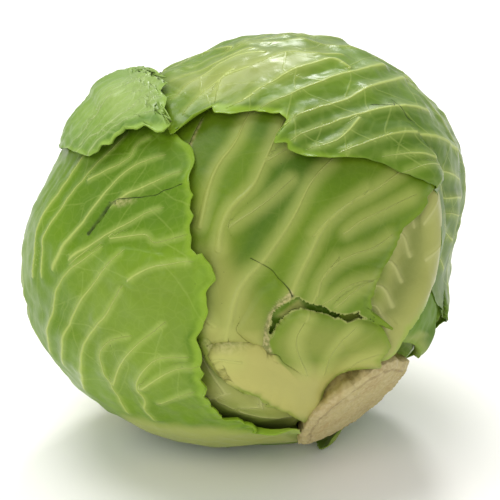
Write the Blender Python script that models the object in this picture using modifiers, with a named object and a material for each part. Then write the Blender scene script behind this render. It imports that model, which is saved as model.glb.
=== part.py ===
"""A head of green cabbage, cut from its plant and lying on one side.

The head rests on the thick midrib of its left wrapper leaf, with the cut stalk low at the
right front. Every leaf is a thin open surface bent round the head, given its thickness by
Solidify, with more of it along the midrib. Leaves are wrapped in order, from the inside out,
and each one rides over those that it covers. Units are metres, +Z up, and the origin is the
middle of the flat spot that the head rests on.
"""

import math

import bmesh
import bpy
import numpy as np
from mathutils import Vector

MM = 0.001

# Driving dimensions of the head
HEAD_CENTRE = MM * np.array([3.2, 2.2, 80.2])  # from the middle of the flat spot
WRAPPING = 7.3 * MM  # what the wrapper leaves add to the tight inner head
OUTLINE_STEP_DEG = 15
# Radius of the whole head in the front view, every 15 degrees, anticlockwise from the right
OUTLINE_RADII = MM * np.array(
    [86.5, 93, 96, 94, 91, 89, 85, 80.5, 81, 86, 85, 87,
     92.5, 94.5, 93, 90.5, 89, 87, 86, 84, 84.5, 87, 90, 85.5]
)
FRONT_REACH = 84 * MM
BACK_REACH = 86 * MM

# The front view, which the leaf edges are drawn in
VIEW_ELEVATION_DEG = 20
VIEW_DISTANCE = 600 * MM
PIXEL = 0.4 * MM
HEAD_CENTRE_PIXEL = (245, 240)

# The cut stalk, a plug that narrows towards the middle of the head
STALK_IN_VIEW_DEG = -53.1  # its bearing in the front view, from the right
STALK_FORWARD_DEG = 18  # how far it leans towards the viewer
STALK_CUT = 83.5 * MM  # from the head's centre to the middle of the cut face
STALK_ROOT = 56 * MM
STALK_HALF_ANGLE_DEG = 19.6
STALK_CUT_DOME = 1.6 * MM
STALK_SEGMENTS = 30
SOCKET_HALF_ANGLE_DEG = 20.4
LEAF_FROM_STALK_DEG = 21.0
BASE_DENT = 5 * MM
BASE_DENT_WIDTH_DEG = 30

# How the leaves lie on each other
BLADE = 1.0 * MM
GAP = 1.0 * MM
LEAF_PAD = 5 * MM
LEAF_STEP = 22 * MM
LOWEST_BLADE = 1.3 * MM  # height of a blade's inner side over the flat spot
ARC = 86 * MM  # turns an angle at the head's centre into a length on its surface

INNER_SEGMENTS = 30
INNER_RINGS = 14

LEAF_GREEN = (0.20, 0.33, 0.04, 1)
PALE_GREEN = (0.40, 0.45, 0.13, 1)
CREAM_GREEN = (0.44, 0.46, 0.17, 1)
DARK_GREEN = (0.10, 0.20, 0.015, 1)
STALK_TAN = (0.40, 0.30, 0.13, 1)

# Leaf edges and midribs in the front view, in pixels of a 500 by 500 picture
LEFT_EDGE = [
    (303, 429), (294, 420), (284, 415), (270, 421), (255, 423), (240, 419), (222, 411),
    (214, 402), (207, 387), (210, 377), (203, 371), (207, 365), (203, 356),
    (198, 337), (204, 326), (207, 308), (204, 294), (211, 287), (212, 277), (205, 260), (196, 252),
    (189, 230), (194, 216), (190, 205), (193, 196), (190, 180), (191, 165), (187, 147), (171, 132),
    (150, 112),
]
TOP_EDGE = [
    (140, 92), (158, 112), (173, 132), (197, 118), (214, 108), (224, 112), (240, 110), (258, 106),
    (283, 109), (288, 120), (277, 134), (275, 143), (289, 143), (300, 152), (330, 160), (362, 161),
    (390, 166), (412, 178), (438, 193), (443, 215), (444, 240), (444, 262), (446, 284), (449, 305),
]
CENTRE_EDGE = [
    (432, 178), (417, 200), (409, 220), (398, 239), (385, 269), (371, 299), (375, 317), (383, 329),
    (381, 339), (371, 352), (373, 357), (345, 394), (312, 418), (300, 411),
    (284, 402), (254, 384), (235, 377), (221, 364), (203, 345), (180, 325), (150, 290), (140, 240),
    (146, 190), (155, 148), (188, 102), (235, 76), (300, 78), (360, 105), (405, 135),
]
RIGHT_EDGE = [
    (440, 180), (443, 200), (444, 240), (442, 262), (437, 281), (430, 298), (421, 314), (411, 328),
    (402, 339), (394, 349), (380, 358), (366, 360), (350, 330), (345, 290), (350, 250), (365, 200),
    (395, 165), (425, 160),
]
TOP_LEFT_EDGE = [
    (153, 70), (167, 77), (159, 84), (157, 90), (167, 100), (164, 119), (174, 122),
    (171, 130), (157, 135), (147, 128), (138, 132), (125, 129), (112, 139), (94, 146), (81, 154),
    (62, 167), (50, 174),
]
LOWER_INNER_EDGE = [
    (309, 426), (304, 412), (285, 397), (250, 375), (215, 350), (190, 325), (150, 325), (120, 360),
]
BACK_EDGE = [(408, 376), (414, 372)]
BACK_TUCKED_EDGE = [(425, 235), (408, 275), (398, 315), (392, 345), (399, 356)]

CENTRE_RIB = [(318, 405), (280, 385), (240, 360), (214, 330), (211, 290), (217, 250), (226, 200)]
RIGHT_RIB = [(388, 352), (408, 325), (424, 285), (430, 240), (426, 195)]
LOWER_INNER_RIB = [(308, 420), (280, 408), (240, 394), (200, 385), (160, 380)]

# Leaf edges and midribs that the front view hides, as (azimuth, elevation) in degrees
LEFT_HIDDEN_EDGE = [
    (-118, 58), (-145, 54), (-168, 42), (172, 25), (160, 0), (150, -25), (135, -48), (105, -64),
    (62, -62), (45, -60),
]
TOP_HIDDEN_EDGE = [
    (86, -22), (94, -33), (104, -45), (116, -52), (132, -47), (150, -28), (172, -5), (-172, 18),
    (-160, 40), (-142, 58), (-118, 66),
]
TOP_LEFT_HIDDEN_EDGE = [
    (-106, 10), (-118, -6), (-140, -18), (-162, -14), (178, 2), (166, 28), (172, 50), (-168, 66),
    (-140, 66),
]
LOWER_INNER_HIDDEN_EDGE = [(-95, -25), (-88, -50), (-50, -72), (20, -74), (40, -62)]
BACK_HIDDEN_EDGE = [
    (70, -30), (73, -26), (76, -21), (84, -23), (91, -38), (102, -52), (130, -60), (165, -54),
    (-168, -30), (-165, 5), (178, 35), (150, 52), (105, 56), (72, 44), (58, 22),
]
STUB_EDGE = [
    (47, -60), (55, -57), (65, -55), (73, -53), (79, -56), (77, -62), (65, -66), (53, -65),
]
LEFT_RIB = [
    (40, -60), (52, -74), (110, -85), (-118, -82), (-104, -72), (-94, -58), (-98, -35),
    (-105, -12), (-110, 10), (-115, 30),
]
TOP_RIB = [(112, -46), (110, -20), (114, 10), (124, 38), (150, 62), (-160, 62)]
TOP_LEFT_RIB = [(-172, -8), (-160, 15), (-145, 35), (-128, 50)]
BACK_RIB = [(66, -26), (88, -16), (115, -6), (145, 6), (170, 18)]
STUB_RIB = [(61, -57), (61, -65)]


def unit(vectors):
    vectors = np.asarray(vectors, float)
    return vectors / np.linalg.norm(vectors, axis=-1, keepdims=True)


def around(points):
    """Directions from the head's centre, from (azimuth, elevation) in degrees. Azimuth 0 is the
    front, 90 the right and 180 the back."""
    azimuth, elevation = np.radians(np.asarray(points, float)).T
    return np.stack(
        [np.sin(azimuth) * np.cos(elevation), -np.cos(azimuth) * np.cos(elevation), np.sin(elevation)],
        axis=-1,
    )


RIGHT = np.array([1.0, 0.0, 0.0])
TOWARDS = around([(0, VIEW_ELEVATION_DEG)])[0]
UP = np.cross(TOWARDS, RIGHT)
STEM = (
    math.cos(math.radians(STALK_FORWARD_DEG)) * math.cos(math.radians(STALK_IN_VIEW_DEG)) * RIGHT
    + math.cos(math.radians(STALK_FORWARD_DEG)) * math.sin(math.radians(STALK_IN_VIEW_DEG)) * UP
    + math.sin(math.radians(STALK_FORWARD_DEG)) * TOWARDS
)


def smooth_step(share):
    share = np.clip(share, 0, 1)
    return share * share * (3 - 2 * share)


def inner_radius(directions):
    """Radius of the tight inner head: its outline in the front view, closing to the front and
    back, with a dent where the stalk comes out."""
    right, up, towards = directions @ RIGHT, directions @ UP, directions @ TOWARDS
    bearing = np.arctan2(up, right)
    waves = np.fft.rfft(OUTLINE_RADII) / len(OUTLINE_RADII)
    rim = np.full(bearing.shape, waves[0].real)
    for k in range(1, len(waves) - 2):
        rim = rim + 2 * (waves[k] * np.exp(1j * k * bearing)).real
    reach = np.where(towards > 0, FRONT_REACH, BACK_REACH)
    side = right**2 + up**2
    from_stem = np.degrees(np.arccos(np.clip(directions @ STEM, -1, 1)))
    dent = BASE_DENT * np.exp(-((from_stem / BASE_DENT_WIDTH_DEG) ** 2))
    return side * rim + (1 - side) * reach - WRAPPING - dent


def seen(pixels, depth=4 * MM):
    """Directions from the head's centre to what the front view shows at these pixels."""
    offsets = (np.asarray(pixels, float) - HEAD_CENTRE_PIXEL) * PIXEL
    targets = offsets[:, :1] * RIGHT - offsets[:, 1:] * UP
    eye = VIEW_DISTANCE * TOWARDS
    rays = unit(targets - eye)
    radius = np.full(len(rays), FRONT_REACH)
    for _ in range(12):
        middle = -(rays @ eye)
        reach = np.maximum(middle**2 - (eye @ eye - radius**2), 0)
        directions = unit(eye + (middle - np.sqrt(reach))[:, None] * rays)
        radius = inner_radius(directions) + depth
    return directions


def path_place(directions, path):
    """(along, across) of directions against a path on the head: metres from its start to the
    nearest place, and metres away from it."""
    along = np.zeros(len(directions))
    across = np.full(len(directions), np.inf)
    before = 0.0
    for start, end in zip(path[:-1], path[1:]):
        length = np.linalg.norm(end - start)
        share = np.clip((directions - start) @ (end - start) / length**2, 0, 1)
        away = np.linalg.norm(directions - start - share[:, None] * (end - start), axis=1)
        nearer = away < across
        across = np.where(nearer, away, across)
        along = np.where(nearer, before + share * length, along)
        before += length
    return along * ARC, across * ARC


class Leaf:
    """One wrapper leaf: a patch of the head round a centre, whose edge is its reach in every
    bearing from that centre, with a midrib along a path."""

    def __init__(self, name, centre, edge, rib, cells, colour, rib_height=3 * MM,
                 rib_width=9 * MM, wave=1.2 * MM, lift=2 * MM, lift_width=12 * MM, pleat=0.0,
                 raised=0.0, grid_turn=0.0, seed=1):
        self.name, self.centre, self.rib, self.cells = name, unit(centre), centre_line(rib), cells
        self.colour, self.rib_height, self.rib_width = colour, rib_height, rib_width
        self.wave, self.lift, self.lift_width, self.pleat = wave, lift, lift_width, pleat
        self.raised, self.grid_turn = raised, grid_turn
        self.phases = np.random.default_rng(seed).uniform(0, 2 * math.pi, 6)
        self.to_stalk = unit(STEM - (STEM @ self.centre) * self.centre)
        self.across = np.cross(self.centre, self.to_stalk)
        self.stalk_angle = math.acos(STEM @ self.centre)
        reach, bearing = self.polar(edge)
        order = np.argsort(bearing)
        self.edge_bearings, self.edge_reaches = bearing[order], reach[order]

    def polar(self, directions):
        ahead = directions @ self.centre
        x, y = directions @ self.to_stalk, directions @ self.across
        return np.arctan2(np.hypot(x, y), ahead), np.arctan2(y, x)

    def reach(self, bearing):
        """The leaf's reach in a bearing, which stops short of the stalk."""
        edge = np.interp(bearing, self.edge_bearings, self.edge_reaches, period=2 * math.pi)
        across = math.sin(self.stalk_angle) * np.cos(bearing)
        ahead = math.cos(self.stalk_angle)
        length = np.hypot(ahead, across)
        rim = math.cos(math.radians(LEAF_FROM_STALK_DEG))
        meets = np.arctan2(across, ahead) - np.arccos(np.minimum(rim / length, 1))
        facing = (length > rim) & (np.cos(bearing) > 0)
        return np.where(facing, np.minimum(edge, meets), edge)

    def ripple(self, bearing):
        """Waves of the leaf's edge, from -1 to 1."""
        p = self.phases
        waves = np.sin(9 * bearing + p[0]) + 0.8 * np.sin(16 * bearing + p[1])
        return (waves + 0.6 * np.sin(25 * bearing + p[2])) / 2.4

    def cover(self, directions):
        """1 where this leaf lies, falling to 0 a little way outside its edge."""
        reach, bearing = self.polar(directions)
        outside = (reach - self.reach(bearing)) * ARC - LEAF_PAD
        return 1 - smooth_step(outside / LEAF_STEP)

    def rib_relief(self, directions, clearance=0.0):
        along, across = path_place(directions, self.rib)
        across = np.maximum(across - clearance, 0)
        taper = 1 - 0.6 * smooth_step(along / (160 * MM))
        return self.rib_height * taper * np.exp(-((across / (self.rib_width * taper)) ** 2))

    def pleats(self, directions):
        """Shallow ridges that leave the midrib on both sides, as the main side ribs do."""
        if not self.pleat:
            return np.zeros(len(directions))
        along, across = path_place(directions, self.rib)
        phase = 2 * math.pi * (along - 0.75 * across) / (30 * MM)
        near = smooth_step(across / (15 * MM)) * (1 - smooth_step((across - 35 * MM) / (25 * MM)))
        return self.pleat * (0.5 + 0.5 * np.cos(phase)) * near

    def build_up(self, directions):
        """How much this leaf raises the ones wrapped over it."""
        added = BLADE + GAP + self.rib_relief(directions, 3 * MM) + self.pleats(directions)
        return self.cover(directions) * added


def clear_of_stalk(directions):
    """The directions, with those too near the stalk moved away to its rim."""
    along = directions @ STEM
    side = unit(directions - along[:, None] * STEM)
    limit = math.radians(LEAF_FROM_STALK_DEG)
    angle = np.maximum(np.arccos(np.clip(along, -1, 1)), limit)
    return np.cos(angle)[:, None] * STEM + np.sin(angle)[:, None] * side


def centre_line(directions):
    """A path through a few directions, in short steps on the head's surface."""
    steps = np.linspace(0, len(directions) - 1, 6 * len(directions))
    places = np.arange(len(directions))
    return unit(np.stack([np.interp(steps, places, directions[:, k]) for k in range(3)], axis=-1))


def wrapper_leaves():
    """The leaves in the order in which they are wrapped, from the inside out."""
    back_edge = np.array([*seen(BACK_EDGE), *around(BACK_HIDDEN_EDGE), *seen(BACK_TUCKED_EDGE)])
    lower_inner_edge = np.array([*seen(LOWER_INNER_EDGE), *around(LOWER_INNER_HIDDEN_EDGE)])
    left_edge = np.array([*seen(LEFT_EDGE), *around(LEFT_HIDDEN_EDGE)])
    top_edge = np.array([*seen(TOP_EDGE), *around(TOP_HIDDEN_EDGE)])
    top_left_edge = np.array([*seen(TOP_LEFT_EDGE), *around(TOP_LEFT_HIDDEN_EDGE)])
    return [
        Leaf("leaf_back", around([(88, 24)])[0], back_edge, around(BACK_RIB), 20, DARK_GREEN,
             lift=7 * MM, lift_width=20 * MM, pleat=1.0 * MM, seed=2),
        Leaf("leaf_lower_inner", seen([(190, 385)])[0], lower_inner_edge, seen(LOWER_INNER_RIB), 17,
             CREAM_GREEN, rib_width=13 * MM, seed=3),
        Leaf("leaf_right_inner", seen([(398, 262)])[0], seen(RIGHT_EDGE), seen(RIGHT_RIB), 14,
             CREAM_GREEN, rib_height=5 * MM, rib_width=9 * MM, wave=0, lift=0, seed=4),
        Leaf("leaf_centre", seen([(275, 255)])[0], seen(CENTRE_EDGE), seen(CENTRE_RIB), 22,
             PALE_GREEN, rib_height=3.5 * MM, rib_width=14 * MM, wave=0.6 * MM, lift=1.0 * MM,
             pleat=0.8 * MM, seed=5),
        Leaf("leaf_left", around([(-90, -33)])[0], left_edge, around(LEFT_RIB), 28, LEAF_GREEN,
             rib_height=4 * MM, rib_width=15 * MM, pleat=1.2 * MM, seed=6),
        Leaf("leaf_top", around([(122, 28)])[0], top_edge, around(TOP_RIB), 28, LEAF_GREEN,
             lift=2.5 * MM, pleat=1.5 * MM, grid_turn=0.8, seed=7),
        Leaf("leaf_top_left", around([(-130, 32)])[0], top_left_edge, around(TOP_LEFT_RIB), 18,
             PALE_GREEN, rib_height=1.5 * MM, lift=2.2 * MM, pleat=1.2 * MM, seed=8),
        Leaf("leaf_stub", around([(61, -61)])[0], around(STUB_EDGE), around(STUB_RIB), 5, DARK_GREEN,
             rib_height=0.5 * MM, wave=0, lift=0, raised=2.5 * MM, seed=9),
    ]


def above_floor(directions, radii):
    """Radii held short of the surface that the head rests on, so that a blade is left there."""
    drop = np.maximum(-directions[:, 2], 0.1)
    return np.minimum(radii, (HEAD_CENTRE[2] - LOWEST_BLADE) / drop)


def place(directions, radii):
    return HEAD_CENTRE + directions * np.asarray(radii)[:, None]


def material(name, colour, roughness):
    made = bpy.data.materials.new(name)
    made.use_nodes = True
    shader = made.node_tree.nodes["Principled BSDF"]
    shader.inputs["Base Color"].default_value = colour
    shader.inputs["Roughness"].default_value = roughness
    shader.inputs["Metallic"].default_value = 0.0
    return made


def add_object(name, bm, collection, colour, roughness=0.45):
    mesh = bpy.data.meshes.new(name)
    bm.normal_update()
    bmesh.ops.recalc_face_normals(bm, faces=bm.faces)
    bm.to_mesh(mesh)
    bm.free()
    obj = bpy.data.objects.new(name, mesh)
    collection.objects.link(obj)
    mesh.materials.append(material(name, colour, roughness))
    mesh.shade_smooth()
    return obj


def leaf_surface(leaf, under, over):
    """(inner surface points, rib thickness) of a leaf for each place of its square grid."""

    def bend(a, b):
        x, y = a * np.sqrt(1 - b * b / 2), b * np.sqrt(1 - a * a / 2)
        bearing = np.arctan2(y, x) + leaf.grid_turn
        share = np.minimum(np.hypot(x, y), 1)
        reach = leaf.reach(bearing) + leaf.wave / ARC * leaf.ripple(bearing) * share
        angle = share * reach
        flat = np.cos(bearing)[:, None] * leaf.to_stalk + np.sin(bearing)[:, None] * leaf.across
        directions = clear_of_stalk(np.cos(angle)[:, None] * leaf.centre + np.sin(angle)[:, None] * flat)
        height = GAP + leaf.raised + sum(other.build_up(directions) for other in under)
        height = height + leaf.pleats(directions)
        inward = (1 - share) * reach * ARC
        bare = np.ones(len(directions))
        for other in over:
            bare = bare * (1 - other.cover(directions))
        from_stem = np.degrees(np.arccos(np.clip(directions @ STEM, -1, 1)))
        bare = bare * smooth_step((from_stem - 22) / 12)
        curl = leaf.lift * (0.6 + 0.4 * leaf.ripple(bearing + 0.4))
        height = height + curl * bare * np.exp(-inward / leaf.lift_width)
        radii = above_floor(directions, inner_radius(directions) + height)
        return place(directions, radii), leaf.rib_relief(directions)

    return bend


def make_leaf(leaf, under, over, collection):
    """A leaf: a square grid bent to its patch of the head, thickened outwards."""
    bm = bmesh.new()
    bmesh.ops.create_grid(bm, x_segments=leaf.cells, y_segments=leaf.cells, size=1)
    bm.verts.ensure_lookup_table()
    flat = np.array([v.co for v in bm.verts])
    points, relief = leaf_surface(leaf, under, over)(flat[:, 0], flat[:, 1])
    for vert, point in zip(bm.verts, points):
        vert.co = point
    bmesh.ops.triangulate(bm, faces=bm.faces, quad_method="SHORT_EDGE")
    obj = add_object(leaf.name, bm, collection, leaf.colour)
    mesh = obj.data
    outward = mesh.polygons[0].center - Vector(HEAD_CENTRE)
    if mesh.polygons[0].normal.dot(outward) < 0:
        mesh.flip_normals()
    thickest = BLADE + leaf.rib_height
    group = obj.vertex_groups.new(name="thickness")
    for index, extra in enumerate(relief):
        group.add([index], float((BLADE + extra) / thickest), "REPLACE")
    solidify = obj.modifiers.new("thickness", "SOLIDIFY")
    solidify.thickness = thickest
    solidify.offset = 1
    solidify.vertex_group = group.name
    solidify.thickness_vertex_group = 0
    return obj


def ring_solid(name, rings, collection, colour, roughness, segments):
    """A closed solid of rings round the stalk's axis. Each ring gives the angle from the axis
    and a radius for each direction, and the first and last are poles."""
    side_a = unit(np.cross(STEM, RIGHT))
    side_b = np.cross(STEM, side_a)
    turn = np.linspace(0, 2 * math.pi, segments, endpoint=False)
    bm = bmesh.new()
    bmesh.ops.create_uvsphere(bm, u_segments=segments, v_segments=len(rings) - 1, radius=1)
    heights = sorted({round(v.co.z, 4) for v in bm.verts}, reverse=True)
    for vert in bm.verts:
        ring = rings[heights.index(round(vert.co.z, 4))]
        bearing = math.atan2(vert.co.y, vert.co.x)
        angle = ring[0](bearing)
        direction = math.cos(angle) * STEM + math.sin(angle) * (
            math.cos(bearing) * side_a + math.sin(bearing) * side_b
        )
        radius = ring[1](direction)
        vert.co = place(direction[None, :], [radius])[0]
    return add_object(name, bm, collection, colour, roughness)


def make_inner_head(collection):
    """The tight inner head, with a socket that the stalk stands in."""
    socket = math.radians(SOCKET_HALF_ANGLE_DEG)

    def ring(angle, radius=None):
        def reach(direction):
            return radius if radius else float(inner_radius(direction[None, :])[0])

        return (lambda bearing: angle), reach

    floor = STALK_ROOT - GAP
    rings = [ring(0, floor), ring(socket * 0.6, floor), ring(socket, floor), ring(socket)]
    rings += [ring(angle) for angle in np.linspace(socket, math.pi, INNER_RINGS + 1)[1:]]
    return ring_solid("inner_head", rings, collection, LEAF_GREEN, 0.5, INNER_SEGMENTS)


def make_stalk(collection):
    """The cut stalk: a plug with a lobed rim where old leaf bases were trimmed off."""
    half = math.radians(STALK_HALF_ANGLE_DEG)

    def lobed(share):
        return lambda bearing: half * share * (1 - 0.035 * (1 + math.sin(5 * bearing + 0.6)))

    def cut_face(share):
        dome = STALK_CUT_DOME * (1 - share**2)
        return lambda direction: (STALK_CUT - STALK_CUT_DOME + dome) / float(direction @ STEM)

    def at(radius):
        return lambda direction: radius

    rings = [
        (lobed(0), cut_face(0)), (lobed(0.35), cut_face(0.35)), (lobed(0.7), cut_face(0.7)),
        (lobed(0.96), cut_face(0.96)), (lobed(1), at(STALK_CUT + 2 * MM)), (lobed(1), at(70 * MM)),
        (lobed(0.9), at(STALK_ROOT)), (lobed(0.45), at(STALK_ROOT)), (lobed(0), at(STALK_ROOT)),
    ]
    return ring_solid("stalk", rings, collection, STALK_TAN, 0.7, STALK_SEGMENTS)


def flatten_rest(obj, cutters):
    """Cuts the flat spot that the head rests on, at the height of the surface under it."""
    bm = bmesh.new()
    bmesh.ops.create_cube(bm, size=0.3)
    bmesh.ops.translate(bm, verts=bm.verts, vec=(0, 0, -0.15))
    mesh = bpy.data.meshes.new("surface_cutter")
    bm.to_mesh(mesh)
    bm.free()
    cutter = bpy.data.objects.new("surface_cutter", mesh)
    cutters.objects.link(cutter)
    cutter.hide_render = True
    cutter.display_type = "WIRE"
    cut = obj.modifiers.new("flat spot", "BOOLEAN")
    cut.operation = "DIFFERENCE"
    cut.solver = "EXACT"
    cut.object = cutter


def main():
    for obj in list(bpy.data.objects):
        bpy.data.objects.remove(obj)
    head = bpy.data.collections.new("cabbage")
    cutters = bpy.data.collections.new("cutters")
    for collection in (head, cutters):
        bpy.context.scene.collection.children.link(collection)
    make_inner_head(head)
    make_stalk(head)
    leaves = wrapper_leaves()
    for index, leaf in enumerate(leaves):
        obj = make_leaf(leaf, leaves[:index], leaves[index + 1:], head)
        if leaf.name == "leaf_left":
            flatten_rest(obj, cutters)


main()
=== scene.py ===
"""The looks of a head of green cabbage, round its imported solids.

Each leaf is a fine grid, bent to the place of its solid, with traced and grown veins, torn and
rolled margins, and its thickness from Solidify. The pattern of a leaf is kept on its points as
distances to veins, margins and tears, which the materials turn into crisp lines.
"""

import math

import bpy
import numpy as np
from mathutils import Matrix, Vector
from mathutils.kdtree import KDTree


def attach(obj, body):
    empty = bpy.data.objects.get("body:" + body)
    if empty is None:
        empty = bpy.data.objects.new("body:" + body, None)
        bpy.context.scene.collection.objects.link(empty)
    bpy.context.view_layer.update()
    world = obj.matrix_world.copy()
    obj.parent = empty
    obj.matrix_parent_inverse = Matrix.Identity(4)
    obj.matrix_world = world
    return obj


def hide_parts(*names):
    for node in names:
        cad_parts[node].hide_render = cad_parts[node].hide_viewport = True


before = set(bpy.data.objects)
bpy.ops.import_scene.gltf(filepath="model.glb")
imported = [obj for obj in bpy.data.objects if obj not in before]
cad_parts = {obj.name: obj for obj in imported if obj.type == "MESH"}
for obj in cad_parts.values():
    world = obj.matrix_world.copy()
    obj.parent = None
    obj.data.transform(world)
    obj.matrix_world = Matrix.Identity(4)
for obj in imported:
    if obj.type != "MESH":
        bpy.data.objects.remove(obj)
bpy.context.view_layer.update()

bl_info = {
    "name": "Cabbage Head",
    "version": (1, 0, 0),
    "blender": (4, 5, 0),
    "location": "3D View > Sidebar > Cabbage",
    "description": "Finished leaves, stalk and studio stage for a cabbage head",
    "category": "Object",
}

MM = 0.001

# The head, as its solids give it
HEAD_CENTRE = MM * np.array([3.2, 2.2, 80.2])
WRAPPING = 7.3 * MM
OUTLINE_RADII = MM * np.array(
    [86.5, 93, 96, 94, 91, 89, 85, 80.5, 81, 86, 85, 87,
     92.5, 94.5, 93, 90.5, 89, 87, 86, 84, 84.5, 87, 90, 85.5]
)
FRONT_REACH = 84 * MM
BACK_REACH = 86 * MM
BASE_DENT = 5 * MM
BASE_DENT_WIDTH_DEG = 30
BLADE = 1.0 * MM
GAP = 1.0 * MM
LEAF_PAD = 5 * MM
LEAF_STEP = 22 * MM
LOWEST_BLADE = 1.3 * MM  # height of the inner side of a blade over the flat spot
DEPTH_LEFT = 5.5 * MM  # height over the inner head of what the front view shows of each leaf
DEPTH_RIGHT = 6 * MM
DEPTH_TOP = 7 * MM
DEPTH_TOP_LEFT = 8.5 * MM
ARC = 86 * MM  # turns an angle at the head's centre into a length on its surface

# The front view, which the edges, veins and tears are drawn in
VIEW_ELEVATION_DEG = 20
VIEW_DISTANCE = 600 * MM
PIXEL = 0.4 * MM
HEAD_CENTRE_PIXEL = (245, 240)
AIM_RIGHT = 2 * MM
AIM_DOWN = 4 * MM
LENS = 108
SENSOR_WIDTH = 36
FLOOR_SIDE = 12

# The cut stalk
STALK_IN_VIEW_DEG = -53.1
STALK_FORWARD_DEG = 18
STALK_CUT = 83.5 * MM
STALK_ROOT = 56 * MM
STALK_HALF_ANGLE_DEG = 19.6
STALK_CUT_DOME = 1.6 * MM
STALK_SHIFT_RIGHT = -3.0 * MM  # how far the cut end leans over in the front view
STALK_SHIFT_UP = 0.3 * MM
STALK_SHORTER = 0.07  # of the cut's length, from its lower left end
STALK_HOLD = 28 * MM
LEAF_FROM_STALK_DEG = 20.6

# Distances kept on the points of a leaf are in millimetres, up to this one
FAR = 12.0

# Steps and limits of the front view and the paths on the head
SIGHT_ROUNDS = 12  # rounds in which a sight settles on the head's surface
LEAST_TOWARDS = 0.08  # how far a place has to face the eye to be seen
OFF_PICTURE = -9999
RIB_STEPS = 6
EVEN_TURNS = 720
SOFTENED_DEG = 9  # over which a leaf's corners are smoothed away
RIB_FADE = 160 * MM  # length over which a midrib gets lower
RIB_LOSS = 0.6
PLEAT_SPACING = 30 * MM
PLEAT_SLANT = 0.75
PLEATS_FROM = 15 * MM  # from the midrib
PLEATS_FADE = (35 * MM, 25 * MM)  # where they start to fade, and over how far

# Leaf edges in the front view, in pixels of a 500 by 500 picture
LEFT_EDGE = [
    (303, 430), (301, 427), (294, 420), (284, 415), (270, 421), (254, 423), (249, 427), (242, 420),
    (236, 415), (222, 415), (221, 409), (216, 404), (209, 400), (210, 392), (206, 385), (210, 377),
    (203, 371), (207, 366), (203, 360), (205, 354), (201, 345), (198, 336), (204, 326), (207, 316),
    (207, 305), (204, 294), (208, 288), (212, 285), (212, 277), (207, 263), (203, 255), (198, 257),
    (193, 250), (192, 239), (189, 228), (194, 218), (190, 211), (191, 202), (194, 197), (190, 183),
    (191, 167), (192, 160), (189, 150), (186, 145), (178, 137), (171, 132), (150, 112),
]
TOP_EDGE = [
    (140, 92), (158, 112), (173, 132), (186, 124), (197, 117), (216, 105), (219, 112), (233, 112),
    (246, 108), (258, 106), (274, 110), (283, 110), (284, 112), (288, 118), (287, 123), (283, 127),
    (277, 134), (276, 138), (275, 143), (289, 142), (290, 147), (300, 152), (322, 158), (338, 160),
    (362, 160), (378, 162), (394, 167), (409, 175), (425, 187), (437, 194), (438, 215), (438, 240),
    (439, 262), (442, 284), (447, 305),
]
CENTRE_EDGE = [
    (432, 178), (417, 200), (417, 206), (409, 220), (400, 231), (398, 239), (393, 250), (385, 269),
    (378, 282), (371, 299), (371, 311), (376, 323), (386, 326), (381, 339), (376, 346), (371, 352),
    (372, 358), (368, 366), (360, 372), (352, 380), (343, 390), (336, 400), (325, 410), (312, 418),
    (301, 411), (284, 401), (254, 384), (235, 377), (218, 368), (209, 357), (203, 344), (180, 325),
    (150, 290), (140, 240), (146, 190), (155, 148), (188, 102), (235, 76), (300, 78), (360, 105),
    (405, 135),
]
RIGHT_EDGE = [
    (440, 180), (443, 200), (444, 240), (441, 262), (434, 281), (425, 298), (415, 314), (405, 328),
    (398, 339), (392, 349), (380, 358), (366, 360), (350, 330), (345, 290), (350, 250), (365, 200),
    (395, 165), (425, 160),
]
TOP_LEFT_EDGE = [
    (142, 68), (148, 71), (156, 70), (163, 74), (167, 77), (165, 81), (160, 84), (160, 87),
    (157, 90), (163, 93), (167, 100), (166, 109), (164, 119), (172, 120), (175, 126), (171, 130),
    (165, 135), (157, 135), (150, 129), (146, 127), (138, 132), (125, 129), (117, 135), (109, 141),
    (94, 146), (84, 153), (70, 149), (57, 144),
]
LOWER_INNER_EDGE = [
    (309, 426), (304, 412), (285, 397), (250, 375), (215, 350), (190, 325), (150, 325), (120, 360),
]
BACK_EDGE = [(408, 376), (413, 374), (415, 368)]
BACK_TUCKED_EDGE = [(425, 235), (408, 275), (398, 315), (392, 345), (399, 356)]
# What stands on the skyline of the front view, where a ray only touches the head
BACK_SKYLINE_EDGE = [
    (424, 359), (428, 351), (432, 341), (438, 328), (447, 325), (445, 312), (450, 290),
]

# Midribs in the front view
CENTRE_RIB = [(318, 405), (280, 385), (240, 360), (214, 330), (211, 290), (217, 250), (226, 200)]
RIGHT_RIB = [(388, 352), (408, 325), (424, 285), (430, 240), (426, 195)]
LOWER_INNER_RIB = [(308, 420), (280, 408), (240, 394), (200, 385), (160, 380)]

# Edges and midribs that the front view hides, as (azimuth, elevation) in degrees
LEFT_HIDDEN_EDGE = [
    (-118, 58), (-145, 54), (-168, 42), (172, 25), (160, 0), (150, -25), (135, -48), (105, -64),
    (62, -62), (45, -60),
]
TOP_HIDDEN_EDGE = [
    (86, -22), (94, -33), (104, -45), (116, -52), (132, -47), (150, -28), (172, -5), (-172, 18),
    (-160, 40), (-142, 58), (-118, 66),
]
TOP_LEFT_HIDDEN_EDGE = [
    (-108, 21), (-118, 8), (-134, -6), (-155, -10), (178, 2), (168, 24), (174, 40), (-168, 47),
    (-150, 48), (-135, 46.5),
]
LOWER_INNER_HIDDEN_EDGE = [(-95, -25), (-88, -50), (-50, -72), (20, -74), (40, -62)]
BACK_HIDDEN_EDGE = [
    (84, -23), (91, -38), (102, -52), (130, -60), (165, -54), (-168, -30), (-165, 5), (178, 35),
    (150, 52), (105, 56), (72, 44), (58, 22),
]
STUB_EDGE = [
    (47, -60), (55, -57), (65, -55), (73, -53), (79, -56), (77, -62), (65, -66), (53, -65),
]
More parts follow.
